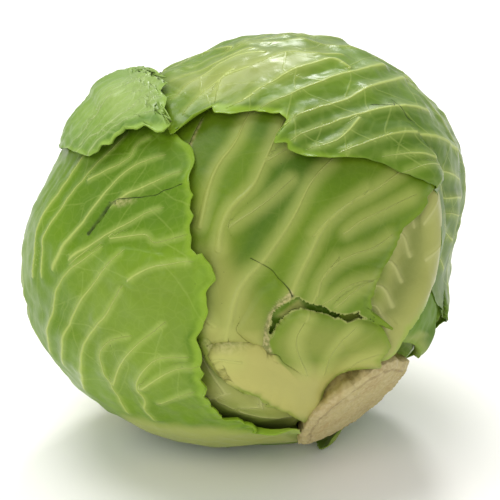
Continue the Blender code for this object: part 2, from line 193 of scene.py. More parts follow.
LEFT_RIB = [
    (40, -60), (52, -74), (110, -85), (-118, -82), (-104, -72), (-94, -58), (-98, -35),
    (-105, -12), (-110, 10), (-115, 30),
]
TOP_RIB = [(112, -46), (110, -20), (114, 10), (124, 38), (150, 62), (-160, 62)]
TOP_LEFT_RIB = [(-172, -8), (-160, 15), (-145, 35), (-128, 50)]
BACK_RIB = [(66, -26), (88, -16), (115, -6), (145, 6), (170, 18)]
STUB_RIB = [(61, -57), (61, -65)]

# Traced veins in the front view: half width in millimetres, and pixels from the base outwards
LEFT_VEINS = [
    (0.7, [(48, 352), (46, 322), (49, 291), (64, 271), (96, 250)]),
    (0.7, [(62, 365), (61, 346), (65, 322), (80, 296), (102, 271), (121, 255)]),
    (0.8, [(83, 389), (80, 365), (81, 346), (94, 328), (104, 319), (115, 299), (121, 290)]),
    (0.5, [(126, 414), (112, 390), (99, 370), (97, 355), (108, 342), (128, 338)]),
    (0.5, [(112, 387), (118, 368), (134, 349), (151, 335), (166, 323)]),
    (0.6, [(153, 422), (144, 409), (147, 401), (137, 386), (144, 371), (159, 358), (188, 354)]),
    (0.5, [(144, 387), (159, 378), (175, 368), (203, 360)]),
    (0.4, [(160, 404), (175, 397), (196, 386)]),
    (0.4, [(134, 279), (150, 268), (191, 263)]),
    (0.8, [(26, 275), (29, 250), (35, 223), (53, 193), (69, 167), (89, 139), (112, 123)]),
    (0.7, [(34, 275), (40, 234), (55, 209), (74, 181), (90, 162), (106, 146), (121, 132)]),
    (0.8, [(47, 268), (62, 240), (81, 220), (100, 192), (112, 181), (130, 168), (160, 156)]),
    (0.4, [(84, 178), (106, 168), (124, 159), (130, 157), (136, 143), (147, 137)]),
    (0.5, [(112, 206), (125, 195), (142, 188), (158, 181), (178, 173)]),
    (0.5, [(64, 260), (84, 247), (106, 235), (127, 224), (147, 214), (160, 210)]),
    (0.3, [(110, 240), (135, 237), (147, 235), (152, 245), (165, 242), (185, 237)]),
]
TOP_VEINS = [
    (0.9, [(352, 62), (336, 52), (314, 59), (292, 66), (274, 78), (250, 94), (233, 105)]),
    (0.8, [(386, 62), (361, 67), (331, 75), (305, 84), (292, 92), (262, 106)]),
    (0.9, [(412, 74), (396, 78), (368, 87), (350, 97), (324, 104), (303, 112), (288, 123)]),
    (0.8, [(432, 108), (400, 108), (368, 111), (346, 117), (331, 122), (309, 131), (296, 138)]),
    (0.8, [(462, 148), (451, 141), (428, 137), (400, 134), (378, 139), (361, 146), (344, 153)]),
    (0.5, [(362, 118), (346, 137), (330, 145), (312, 149)]),
    (0.5, [(432, 160), (409, 155), (389, 157)]),
    (0.5, [(466, 178), (449, 169), (425, 167), (406, 173)]),
    (0.5, [(467, 196), (449, 198), (443, 188), (435, 163), (433, 151)]),
    (0.7, [(345, 47), (311, 45), (296, 41), (271, 51), (250, 61)]),
    (0.6, [(250, 62), (220, 73), (199, 94), (185, 112)]),
    (0.7, [(262, 44), (250, 45), (223, 56), (191, 77), (172, 96)]),
    (0.6, [(250, 41), (215, 56), (191, 64), (169, 75)]),
    (0.6, [(231, 37), (199, 43), (175, 56), (148, 70)]),
    (0.5, [(231, 66), (222, 72), (218, 80), (215, 99)]),
    (0.5, [(262, 86), (250, 96), (231, 106)]),
    (0.5, [(458, 240), (452, 232), (446, 226)]),
    (0.4, [(464, 215), (455, 212), (446, 214)]),
    (0.4, [(452, 270), (448, 258), (446, 245)]),
]
CENTRE_VEINS = [
    (1.0, [(200, 225), (214, 168), (237, 141), (243, 125), (252, 108)]),
    (1.1, [(219, 248), (222, 227), (232, 208), (253, 189), (262, 170), (273, 144), (284, 122)]),
    (1.2, [
        (225, 345), (235, 300), (246, 281), (264, 264), (278, 245), (297, 217), (313, 181),
        (332, 162),
    ]),
    (1.1, [
        (284, 318), (294, 294), (300, 278), (313, 253), (324, 227), (348, 205), (375, 192),
        (397, 175),
    ]),
    (0.6, [(308, 318), (316, 300), (323, 277), (348, 257), (375, 249), (389, 238)]),
    (0.4, [(232, 227), (269, 202), (294, 179)]),
    (0.4, [(317, 236), (327, 223), (346, 207), (370, 191)]),
    (0.4, [(348, 232), (360, 222), (382, 212), (406, 199)]),
    (0.4, [(268, 160), (290, 147)]),
    (0.4, [(319, 296), (322, 279), (339, 260)]),
    (0.4, [(328, 303), (349, 285), (378, 280)]),
    (0.4, [(339, 306), (358, 288), (374, 282)]),
    (0.5, [(305, 372), (297, 354), (296, 338), (303, 326)]),
    (0.5, [(325, 372), (330, 356), (342, 340), (352, 330)]),
    (0.5, [(344, 374), (354, 360), (368, 350)]),
]
RIGHT_VEINS = [
    (1.1, [(408, 282), (405, 270), (400, 264), (392, 262), (384, 267)]),
    (1.1, [(398, 308), (395, 296), (389, 290), (382, 289), (374, 294)]),
    (1.0, [(389, 328), (387, 314), (380, 309), (373, 314)]),
    (1.0, [(416, 254), (414, 240), (408, 232), (399, 234)]),
    (0.8, [(419, 222), (416, 210), (408, 204)]),
]
TOP_LEFT_VEINS = [
    (0.4, [(60, 165), (80, 140), (104, 122), (128, 106), (150, 92)]),
    (0.3, [(75, 142), (96, 118), (118, 100), (140, 86), (156, 80)]),
    (0.3, [(72, 135), (92, 108), (114, 90), (135, 76), (150, 72)]),
    (0.3, [(95, 130), (120, 112), (140, 102), (160, 98)]),
    (0.4, [(84, 150), (100, 132), (124, 120), (145, 116), (162, 112)]),
    (0.3, [(84, 118), (100, 96), (118, 82), (130, 74)]),
    (0.3, [(60, 150), (78, 126), (92, 104)]),
]

# Tears right through a leaf, and where its surface is only cracked
CENTRE_TEAR = [
    (276, 317), (281, 312), (290, 306), (300, 300), (307, 304), (318, 308), (327, 309), (333, 314),
    (345, 317), (352, 317), (362, 314), (361, 318), (369, 321), (358, 322), (348, 324), (343, 321),
    (337, 321), (331, 318), (322, 316), (314, 315), (304, 312), (295, 315), (287, 322), (279, 332),
    (274, 342), (270, 338), (273, 328),
]
LEFT_CRACKS = [
    (2.3, [(112, 203), (106, 206), (100, 214), (95, 221), (90, 226), (84, 233)]),
    (0.45, [
        (108, 204), (117, 200), (128, 199), (139, 198), (148, 196), (157, 196), (163, 191),
        (170, 190), (179, 187),
    ]),
]
TOP_CRACKS = [
    (0.5, [(397, 103), (402, 110), (407, 119), (412, 122)]),
    (0.5, [(380, 104), (387, 105), (393, 107)]),
]
CENTRE_CRACKS = [
    (0.5, [(292, 295), (288, 289), (280, 281), (275, 273), (267, 268), (255, 262)]),
    (0.6, [(187, 145), (192, 133), (201, 117)]),
]

# The broken midrib of the centre leaf, a wedge below the tear
WEDGE = [
    (217, 351), (221, 348), (256, 348), (271, 354), (290, 372), (310, 395), (312, 418), (301, 411),
    (276, 398), (253, 382), (232, 371),
]


def unit(vectors):
    vectors = np.asarray(vectors, float)
    return vectors / np.linalg.norm(vectors, axis=-1, keepdims=True)


def around(points):
    """Directions from the head's centre, from (azimuth, elevation) in degrees. Azimuth 0 is the
    front, 90 the right and 180 the back."""
    azimuth, elevation = np.radians(np.asarray(points, float)).T
    level = np.cos(elevation)
    right, back = np.sin(azimuth) * level, -np.cos(azimuth) * level
    return np.stack([right, back, np.sin(elevation)], axis=-1)


RIGHT = np.array([1.0, 0.0, 0.0])
TOWARDS = around([(0, VIEW_ELEVATION_DEG)])[0]
UP = np.cross(TOWARDS, RIGHT)
EYE = VIEW_DISTANCE * TOWARDS
STEM = (
    math.cos(math.radians(STALK_FORWARD_DEG)) * math.cos(math.radians(STALK_IN_VIEW_DEG)) * RIGHT
    + math.cos(math.radians(STALK_FORWARD_DEG)) * math.sin(math.radians(STALK_IN_VIEW_DEG)) * UP
    + math.sin(math.radians(STALK_FORWARD_DEG)) * TOWARDS
)


def smooth_step(share):
    share = np.clip(share, 0, 1)
    return share * share * (3 - 2 * share)


def inner_radius(directions):
    """Radius of the tight inner head, with a dent where the stalk comes out."""
    right, up, towards = directions @ RIGHT, directions @ UP, directions @ TOWARDS
    bearing = np.arctan2(up, right)
    waves = np.fft.rfft(OUTLINE_RADII) / len(OUTLINE_RADII)
    rim = np.full(bearing.shape, waves[0].real)
    for k in range(1, len(waves) - 2):
        rim = rim + 2 * (waves[k] * np.exp(1j * k * bearing)).real
    reach = np.where(towards > 0, FRONT_REACH, BACK_REACH)
    side = right**2 + up**2
    from_stem = np.degrees(np.arccos(np.clip(directions @ STEM, -1, 1)))
    dent = BASE_DENT * np.exp(-((from_stem / BASE_DENT_WIDTH_DEG) ** 2))
    return side * rim + (1 - side) * reach - WRAPPING - dent


def rays(pixels):
    """Directions from the eye to these pixels of the front view."""
    offsets = (np.asarray(pixels, float) - HEAD_CENTRE_PIXEL) * PIXEL
    return unit(offsets[:, :1] * RIGHT - offsets[:, 1:] * UP - EYE)


def seen(pixels, depth=4 * MM):
    """Directions from the head's centre to what the front view shows at these pixels."""
    sight = rays(pixels)
    radius = np.full(len(sight), FRONT_REACH)
    middle = -(sight @ EYE)
    for _ in range(SIGHT_ROUNDS):
        reach = np.maximum(middle**2 - (EYE @ EYE - radius**2), 0)
        directions = unit(EYE + (middle - np.sqrt(reach))[:, None] * sight)
        radius = inner_radius(directions) + depth
    return directions


def skyline(pixels):
    """Directions from the head's centre to where the sight of these pixels passes nearest it."""
    sight = rays(pixels)
    return unit(EYE - (sight @ EYE)[:, None] * sight)


def front_pixels(directions, depth):
    """Where the front view shows these directions, far off the picture where it can't."""
    points = directions * (inner_radius(directions) + depth)[:, None]
    scale = VIEW_DISTANCE / (VIEW_DISTANCE - points @ TOWARDS) / PIXEL
    x = HEAD_CENTRE_PIXEL[0] + points @ RIGHT * scale
    y = HEAD_CENTRE_PIXEL[1] - points @ UP * scale
    hidden = directions @ TOWARDS < LEAST_TOWARDS
    return np.stack([np.where(hidden, OFF_PICTURE, x), np.where(hidden, OFF_PICTURE, y)], axis=-1)


def region(pixels, outline, softness):
    """1 inside an outline in the front view, falling to 0 over a number of pixels."""
    away, _, inside = outline_place(pixels, np.asarray(outline, float))
    return smooth_step(0.5 + np.where(inside, away, -away) / softness)


def centre_line(directions):
    """A path through a few directions, in short steps on the head's surface."""
    steps = np.linspace(0, len(directions) - 1, RIB_STEPS * len(directions))
    places = np.arange(len(directions))
    return unit(np.stack([np.interp(steps, places, directions[:, k]) for k in range(3)], axis=-1))


def rounded(directions):
    """A path with its corners cut away twice, for a vein."""
    for _ in range(2):
        before, after = directions[:-1], directions[1:]
        cut = np.stack([0.75 * before + 0.25 * after, 0.25 * before + 0.75 * after], axis=1)
        directions = np.concatenate([directions[:1], cut.reshape(-1, 3)[1:-1], directions[-1:]])
    return unit(directions)


def straight_steps(edge):
    """A closed edge with three more places on the straight way between each two."""
    ends = np.roll(edge, -1, axis=0)
    return unit(np.concatenate([edge + share * (ends - edge) for share in (0, 0.25, 0.5, 0.75)]))


def path_place(directions, path):
    """(along, across) of directions against a path on the head: metres from its start to the
    nearest place, and metres away from it."""
    along = np.zeros(len(directions))
    across = np.full(len(directions), np.inf)
    before = 0.0
    for start, end in zip(path[:-1], path[1:]):
        length = np.linalg.norm(end - start)
        share = np.clip((directions - start) @ (end - start) / length**2, 0, 1)
        away = np.linalg.norm(directions - start - share[:, None] * (end - start), axis=1)
        nearer = away < across
        across = np.where(nearer, away, across)
        along = np.where(nearer, before + share * length, along)
        before += length
    return along * ARC, across * ARC


def clear_of_stalk(directions):
    """The directions, with those too near the stalk moved away to its rim."""
    along = directions @ STEM
    side = unit(directions - along[:, None] * STEM)
    limit = math.radians(LEAF_FROM_STALK_DEG)
    angle = np.maximum(np.arccos(np.clip(along, -1, 1)), limit)
    return np.cos(angle)[:, None] * STEM + np.sin(angle)[:, None] * side


def above_floor(directions, radii):
    """Radii held short of the surface that the head rests on, so that a blade is left there."""
    drop = np.maximum(-directions[:, 2], 0.1)
    return np.minimum(radii, (HEAD_CENTRE[2] - LOWEST_BLADE) / drop)


def place(directions, radii):
    return HEAD_CENTRE + directions * np.asarray(radii)[:, None]


def outline_place(points, outline):
    """(distance to a closed outline, its nearest place, whether inside) for points of a plan."""
    away = np.full(len(points), np.inf)
    nearest = np.zeros_like(points)
    inside = np.zeros(len(points), bool)
    for start, end in zip(outline, np.roll(outline, -1, axis=0)):
        step = end - start
        share = np.clip((points - start) @ step / (step @ step), 0, 1)
        foot = start + share[:, None] * step
        distance = np.linalg.norm(points - foot, axis=1)
        nearer = distance < away
        away = np.where(nearer, distance, away)
        nearest = np.where(nearer[:, None], foot, nearest)
        crosses = (start[1] > points[:, 1]) != (end[1] > points[:, 1])
        if step[1]:
            side = start[0] + (points[:, 1] - start[1]) / step[1] * step[0]
            inside ^= crosses & (points[:, 0] < side)
    return away, nearest, inside


class Leaf:
    """One wrapper leaf: a patch of the head round a centre, whose edge is its reach in every
    bearing from that centre, with a midrib along a path."""

    def __init__(self, name, centre, edge, rib, cells, rib_height=3 * MM, rib_width=9 * MM,
                 wave=1.2 * MM, lift=2 * MM, lift_width=12 * MM, pleat=0.0, raised=0.0,
                 grid_turn=0.0, depth=4 * MM, seed=1):
        self.name, self.centre, self.rib, self.cells = name, unit(centre), centre_line(rib), cells
        self.rib_height, self.rib_width = rib_height, rib_width
        self.wave, self.lift, self.lift_width, self.pleat = wave, lift, lift_width, pleat
        self.raised, self.grid_turn, self.depth, self.seed = raised, grid_turn, depth, seed
        self.phases = np.random.default_rng(seed).uniform(0, 2 * math.pi, 6)
        self.to_stalk = unit(STEM - (STEM @ self.centre) * self.centre)
        self.across = np.cross(self.centre, self.to_stalk)
        self.stalk_angle = math.acos(STEM @ self.centre)
        reach, bearing = self.polar(edge)
        order = np.argsort(bearing)
        self.edge_bearings, self.edge_reaches = bearing[order], reach[order]
        self.even = np.linspace(-math.pi, math.pi, EVEN_TURNS, endpoint=False)
        spread = np.exp(-((self.even / math.radians(SOFTENED_DEG)) ** 2))
        spread = np.fft.rfft(np.fft.ifftshift(spread) / spread.sum())
        self.smoothed = np.fft.irfft(np.fft.rfft(self.reach(self.even)) * spread, EVEN_TURNS)

    def polar(self, directions):
        ahead = directions @ self.centre
        x, y = directions @ self.to_stalk, directions @ self.across
        return np.arctan2(np.hypot(x, y), ahead), np.arctan2(y, x)

    def plan(self, directions):
        """Where the directions lie on the leaf rolled out flat round its centre, in metres."""
        angle, bearing = self.polar(directions)
        return ARC * angle[:, None] * np.stack([np.cos(bearing), np.sin(bearing)], axis=-1)

    def level_plan(self, directions):
        """The plan with a height of 0."""
        plan = self.plan(directions)
        return np.concatenate([plan, np.zeros((len(plan), 1))], axis=1)

    def from_polar(self, angle, bearing):
        flat = np.cos(bearing)[:, None] * self.to_stalk + np.sin(bearing)[:, None] * self.across
        return np.cos(angle)[:, None] * self.centre + np.sin(angle)[:, None] * flat

    def from_plan(self, points):
        return self.from_polar(np.hypot(*points.T) / ARC, np.arctan2(points[:, 1], points[:, 0]))

    def reach(self, bearing):
        """The leaf's reach in a bearing, which stops short of the stalk."""
        edge = np.interp(bearing, self.edge_bearings, self.edge_reaches, period=2 * math.pi)
        across = math.sin(self.stalk_angle) * np.cos(bearing)
        ahead = math.cos(self.stalk_angle)
        length = np.hypot(ahead, across)
        rim = math.cos(math.radians(LEAF_FROM_STALK_DEG))
        meets = np.arctan2(across, ahead) - np.arccos(np.minimum(rim / length, 1))
        facing = (length > rim) & (np.cos(bearing) > 0)
        return np.where(facing, np.minimum(edge, meets), edge)

    def soft_reach(self, bearing):
        """The leaf's reach without its nicks and corners."""
        return np.interp(bearing, self.even, self.smoothed, period=2 * math.pi)

    def ripple(self, bearing):
        """Waves of the leaf's edge, from -1 to 1."""
        p = self.phases
        waves = np.sin(9 * bearing + p[0]) + 0.8 * np.sin(16 * bearing + p[1])
        return (waves + 0.6 * np.sin(25 * bearing + p[2])) / 2.4

    def cover(self, directions, pad=LEAF_PAD, step=LEAF_STEP):
        """1 where this leaf lies, falling to 0 a little way outside its edge."""
        reach, bearing = self.polar(directions)
        outside = (reach - self.reach(bearing)) * ARC - pad
        return 1 - smooth_step(outside / step)

    def rib_relief(self, directions, clearance=0.0):
        along, across = path_place(directions, self.rib)
        across = np.maximum(across - clearance, 0)
        taper = 1 - RIB_LOSS * smooth_step(along / RIB_FADE)
        return self.rib_height * taper * np.exp(-((across / (self.rib_width * taper)) ** 2))

    def pleats(self, directions):
        """Shallow ridges that leave the midrib on both sides, as the main side ribs do."""
        if not self.pleat:
            return np.zeros(len(directions))
        along, across = path_place(directions, self.rib)
        phase = 2 * math.pi * (along - PLEAT_SLANT * across) / PLEAT_SPACING
        fading = smooth_step((across - PLEATS_FADE[0]) / PLEATS_FADE[1])
        near = smooth_step(across / PLEATS_FROM) * (1 - fading)
        return self.pleat * (0.5 + 0.5 * np.cos(phase)) * near

    def build_up(self, directions):
        """How much this leaf raises the ones wrapped over it."""
        added = BLADE + GAP + self.rib_relief(directions, 3 * MM) + self.pleats(directions)
        return self.cover(directions) * added


def wrapper_leaves():
    """The leaves in the order in which they are wrapped, from the inside out."""
    back_edge = np.array([
        *seen(BACK_EDGE), *skyline(BACK_SKYLINE_EDGE), *around(BACK_HIDDEN_EDGE),
        *seen(BACK_TUCKED_EDGE),
    ])
    lower_inner_edge = np.array([*seen(LOWER_INNER_EDGE), *around(LOWER_INNER_HIDDEN_EDGE)])
    left_edge = np.array([*seen(LEFT_EDGE, DEPTH_LEFT), *around(LEFT_HIDDEN_EDGE)])
    top_edge = np.array([*seen(TOP_EDGE, DEPTH_TOP), *around(TOP_HIDDEN_EDGE)])
    top_left_edge = straight_steps(np.array([
        *seen(TOP_LEFT_EDGE, DEPTH_TOP_LEFT), *around(TOP_LEFT_HIDDEN_EDGE),
    ]))
    return [
        Leaf("leaf_back", around([(88, 24)])[0], back_edge, around(BACK_RIB), 140,
             lift=7 * MM, lift_width=20 * MM, pleat=0.5 * MM, seed=2),
        Leaf("leaf_lower_inner", seen([(190, 385)])[0], lower_inner_edge, seen(LOWER_INNER_RIB),
             90, rib_width=13 * MM, seed=3),
        Leaf("leaf_right_inner", seen([(398, 262)])[0], seen(RIGHT_EDGE, DEPTH_RIGHT),
             seen(RIGHT_RIB, DEPTH_RIGHT), 120, rib_height=5 * MM, wave=0, lift=0,
             depth=DEPTH_RIGHT, seed=4),
        Leaf("leaf_centre", seen([(275, 255)])[0], seen(CENTRE_EDGE), seen(CENTRE_RIB), 215,
             rib_height=3.5 * MM, rib_width=14 * MM, wave=0.6 * MM, lift=1.0 * MM,
             pleat=0.4 * MM, seed=5),
        Leaf("leaf_left", around([(-90, -33)])[0], left_edge, around(LEFT_RIB), 215,
             rib_height=4 * MM, rib_width=15 * MM, pleat=0.5 * MM, depth=DEPTH_LEFT, seed=6),
        Leaf("leaf_top", around([(122, 28)])[0], top_edge, around(TOP_RIB), 215,
             lift=2.5 * MM, pleat=0.7 * MM, grid_turn=0.8, depth=DEPTH_TOP, seed=7),
        Leaf("leaf_top_left", around([(-130, 32)])[0], top_left_edge, around(TOP_LEFT_RIB), 160,
             rib_height=1.5 * MM, lift=2.2 * MM, pleat=0.5 * MM, depth=DEPTH_TOP_LEFT, seed=8),
        Leaf("leaf_stub", around([(61, -61)])[0], around(STUB_EDGE), around(STUB_RIB), 30,
             rib_height=0.5 * MM, wave=0, lift=0, raised=5.5 * MM, seed=9),
    ]


LEAVES = wrapper_leaves()
LEAF = {leaf.name: leaf for leaf in LEAVES}

# What each leaf shows besides its place:
# relief  how strongly its veins stand out and its skin puckers between them
# hem     width in millimetres of the margin that curls up
# base    degrees from the stalk that its pale base reaches over
# paint   kind, strength, pixels that its border fades over, and outline in the front view
# swells  height in millimetres, softness and outline as for paint, then the pixel that the swell
#         fades from and over how many pixels
# folds   height and spacing in millimetres, and two pixels that give the way they run
# hems    pixel, radius in pixels, width in millimetres and turn in degrees of a rolled margin
# seams   direction, radius in degrees and room in millimetres of a margin that lies flat
# Lime paint is painted light: margins and rims lightened towards the edge colour, as light coming
# through them makes them. The darkening paint is the leaf's own darker green, and painted shade
# where a comment says so.
DETAILS = {
    "leaf_back": dict(
        relief=0.9, hem=1.2, base=4,
        paint=[
            ("pale", 0.75, 5, [
                (399, 366), (404, 352), (412, 342), (424, 332), (430, 336), (418, 352), (412, 372),
            ]),
            ("lime", 0.5, 8, [
                (405, 345), (424, 318), (440, 290), (446, 300), (440, 325), (424, 335),
            ]),
        ],
    ),
    "leaf_lower_inner": dict(
        relief=0.25, hem=0.0,
        paint=[
            ("pale", 0.75, 12, [
                (205, 384), (236, 376), (262, 388), (300, 412), (280, 414), (240, 404), (210, 398),
            ]),
            # Painted shadow where the left leaf's margin shades this blade, partly its own darker
            # green
            ("deep", 0.5, 10, [
                (205, 400), (235, 408), (292, 417), (296, 430), (250, 434), (205, 420),
            ]),
        ],
        swells=[
            (1.6, 24, [
                (190, 370), (236, 366), (306, 408), (306, 440), (190, 430),
            ], (250, 405), 300),
        ],
    ),
    "leaf_right_inner": dict(
        veins=RIGHT_VEINS, relief=0.3, hem=0.0,
        paint=[
            ("pale", 1.0, 16, [
                (402, 222), (426, 182), (450, 200), (448, 260), (430, 310), (390, 356), (370, 345),
                (392, 300), (400, 262),
            ]),
            ("deep", 0.4, 10, [(374, 306), (382, 306), (388, 322), (380, 330), (372, 326)]),
            # Painted shade in the valley beside the midrib
            ("deep", 0.6, 14, [
                (414, 190), (428, 190), (427, 240), (419, 280), (402, 316), (388, 326), (398, 292),
                (408, 262), (414, 230),
            ]),
        ],
        swells=[
            (-2.2, 18, [
                (412, 176), (430, 178), (429, 235), (422, 270), (409, 302), (396, 326), (384, 322),
                (396, 290), (406, 262), (412, 230),
            ], (412, 250), 300),
            (1.5, 12, [
                (428, 184), (452, 190), (452, 256), (440, 290), (430, 282), (430, 240),
            ], (438, 240), 300),
        ],
    ),
    "leaf_centre": dict(
        veins=CENTRE_VEINS, cracks=CENTRE_CRACKS, tear=CENTRE_TEAR, relief=0.28, hem=0.3,
        paint=[
            ("pale", 0.5, 40, [
                (204, 252), (226, 246), (250, 290), (266, 330), (262, 352), (205, 345),
            ]),
            ("pale", 0.7, 18, [(204, 318), (262, 330), (266, 356), (206, 345)]),
            ("pale", 1.0, 3, WEDGE),
            ("pale", 1.0, 30, [
                (262, 368), (300, 366), (350, 370), (364, 372), (352, 384), (325, 412), (300, 414),
                (262, 392),
            ]),
            ("pale", 0.8, 4, [
                (203, 344), (216, 352), (235, 372), (300, 410), (312, 418), (300, 420), (235, 380),
                (214, 370),
            ]),
            ("pale", 0.35, 30, [(300, 320), (372, 330), (366, 360), (280, 362), (276, 340)]),
            ("deep", 0.75, 36, [
                (252, 112), (330, 150), (326, 172), (296, 205), (262, 250), (240, 262), (246, 225),
                (262, 190), (268, 150), (250, 128),
            ]),
            ("deep", 0.25, 30, [
                (330, 165), (410, 185), (396, 235), (372, 290), (330, 290), (306, 280), (330, 230),
            ]),
            ("deep", 0.4, 20, [(200, 125), (240, 112), (228, 140), (205, 190), (194, 170)]),
            ("lime", 0.5, 3, [
                (264, 352), (272, 340), (288, 321), (300, 312), (312, 312), (312, 316), (302, 316),
                (291, 325), (277, 342), (270, 356),
            ]),
            ("torn", 0.95, 3, [
                (292, 292), (280, 303), (269, 316), (263, 330), (261, 346), (267, 355), (273, 355),
                (270, 342), (271, 331), (277, 319), (287, 308), (298, 299),
            ]),
            ("torn", 0.9, 4, [
                (206, 343), (216, 339), (230, 338), (250, 346), (256, 348), (221, 349), (213, 351),
            ]),
            ("torn", 0.75, 8, [
                (310, 420), (326, 402), (342, 384), (358, 370), (374, 356), (378, 362), (362, 378),
                (346, 394), (330, 412), (316, 424),
            ]),
            ("torn", 0.7, 3, [
                (186, 146), (187, 142), (194, 128), (200, 117), (203, 117), (197, 130), (190, 146),
            ]),
        ],
        swells=[
            (3.8, 2.5, [
                (217, 351), (221, 348), (240, 348), (256, 349), (262, 356), (274, 356), (300, 376),
                (320, 400), (312, 418), (298, 411), (276, 400), (253, 386), (232, 371),
            ], (231, 362), 34),
            (1.0, 14, [
                (217, 353), (240, 372), (262, 386), (300, 410), (290, 388), (262, 370),
            ], (262, 384), 60),
            (2.0, 4, [
                (266, 354), (274, 342), (281, 330), (290, 321), (304, 314), (331, 319), (358, 323),
                (379, 328), (378, 345), (360, 360), (320, 380), (290, 366),
            ], (300, 326), 32),
            (1.2, 4, [(330, 316), (358, 322), (379, 327), (378, 345), (350, 352)], (366, 326), 26),
            (-1.6, 4, [
                (208, 344), (216, 340), (230, 339), (246, 346), (230, 347), (218, 348),
            ], (228, 344), 300),
            (1.0, 6, [
                (292, 294), (270, 314), (262, 332), (258, 346), (240, 330), (262, 296), (280, 284),
            ], (268, 318), 300),
            (1.3, 5, [
                (202, 342), (210, 358), (222, 370), (236, 378), (226, 362), (214, 350), (208, 340),
            ], (216, 358), 300),
        ],
    ),
    "leaf_left": dict(
        veins=LEFT_VEINS, cracks=LEFT_CRACKS, relief=1.25, hem=1.2,
        paint=[
            ("deep", 0.9, 50, [
                (88, 145), (150, 132), (188, 150), (190, 230), (120, 245), (66, 252), (60, 200),
            ]),
            ("deep", 0.35, 60, [(30, 240), (60, 180), (70, 260), (60, 340), (36, 320)]),
            ("pale", 0.12, 60, [
                (70, 270), (190, 262), (205, 340), (190, 400), (110, 400), (70, 340),
            ]),
            ("pale", 0.75, 10, [
                (120, 418), (160, 429), (230, 432), (296, 430), (300, 455), (150, 458),
            ]),
            ("lime", 0.35, 10, [
                (196, 260), (214, 280), (210, 330), (212, 400), (240, 412), (300, 424), (296, 432),
                (230, 434), (200, 412), (196, 340),
            ]),
            # Painted shadow under the rolled lower margin of the top-left leaf
            ("deep", 0.5, 6, [
                (98, 140), (128, 124), (164, 120), (168, 132), (150, 136), (126, 134), (104, 150),
            ]),
            ("torn", 0.6, 6, [(108, 203), (126, 198), (134, 202), (118, 208)]),
        ],
        swells=[
            (1.2, 4, [
                (80, 259), (95, 252), (125, 250), (149, 254), (181, 262), (197, 263), (196, 290),
                (150, 290), (90, 280),
            ], (140, 254), 50),
            (0.9, 50, [
                (10, 220), (30, 150), (80, 80), (120, 70), (90, 130), (60, 190), (40, 240),
            ], (60, 150), 300),
        ],
        folds=[(0.35, 7, (60, 240), (110, 160))],
        hems=[((250, 420), 45, 4.0, 120), ((208, 390), 34, 3.0, 110), ((204, 320), 40, 1.6, 80)],
    ),
    "leaf_top": dict(
        veins=TOP_VEINS, cracks=TOP_CRACKS, relief=1.25, hem=0.8,
        folds=[(0.4, 7, (215, 90), (300, 50))],
        paint=[
            ("deep", 0.8, 40, [
                (290, 120), (330, 96), (392, 96), (440, 130), (440, 172), (380, 158), (300, 148),
            ]),
            # Painted highlight over the top, where the light from behind glints, partly the leaf's
            # whitish bloom
            ("pale", 0.5, 40, [(170, 76), (250, 40), (330, 40), (300, 66), (210, 100)]),
            ("deep", 0.75, 24, [
                (438, 180), (470, 180), (470, 260), (456, 320), (440, 300), (436, 240),
            ]),
            ("lime", 0.9, 6, [
                (214, 104), (250, 105), (282, 108), (288, 118), (246, 113), (216, 112),
            ]),
        ],
        hems=[((194, 108), 22, 3.5, 170), ((236, 108), 22, 1.6, 90)],
        seams=[
            (around([(65, 20)])[0], 24, 0.25),
            (around([(65, -4)])[0], 24, 0.25),
            (around([(-140, 56)])[0], 34, 1.0),
        ],
    ),
    "leaf_top_left": dict(
        veins=TOP_LEFT_VEINS, relief=1.1, hem=0.8,
        folds=[(1.1, 5.5, (75, 150), (140, 88))],
        swells=[
            (0.9, 50, [
                (10, 220), (30, 150), (80, 80), (120, 70), (90, 130), (60, 190), (40, 240),
            ], (60, 150), 300),
            (1.8, 14, [(84, 84), (96, 60), (120, 66), (112, 92), (96, 102)], (102, 80), 40),
        ],
        paint=[
            ("pale", 0.25, 20, [(100, 90), (140, 70), (160, 76), (160, 110), (110, 120)]),
            # Painted shade in the hollow above the rolled lower margin
            ("deep", 1.0, 10, [
                (90, 142), (112, 128), (140, 120), (166, 114), (168, 122), (146, 126), (120, 133),
                (94, 148),
            ]),
            ("deep", 0.5, 46, [(30, 190), (50, 120), (70, 124), (96, 150), (80, 172)]),
            ("lime", 0.8, 5, [
                (92, 144), (112, 134), (140, 128), (174, 124), (174, 134), (110, 144),
            ]),
        ],
        hems=[((120, 133), 34, 4.2, 170), ((160, 130), 20, 4.0, 170)],
        seams=[(around([(-108, 20)])[0], 24, 0.3), (around([(-152, 48)])[0], 32, 1.6)],
    ),
    "leaf_stub": dict(relief=0.2, hem=0.5),
}


def even_steps(directions, step):
    """The points of a path on the head, an even step apart."""
    lengths = ARC * np.linalg.norm(np.diff(directions, axis=0), axis=1)
    places = np.concatenate([[0], np.cumsum(lengths)])
    wanted = np.arange(0, places[-1], step)
    return unit(np.stack([np.interp(wanted, places, directions[:, k]) for k in range(3)], axis=-1))


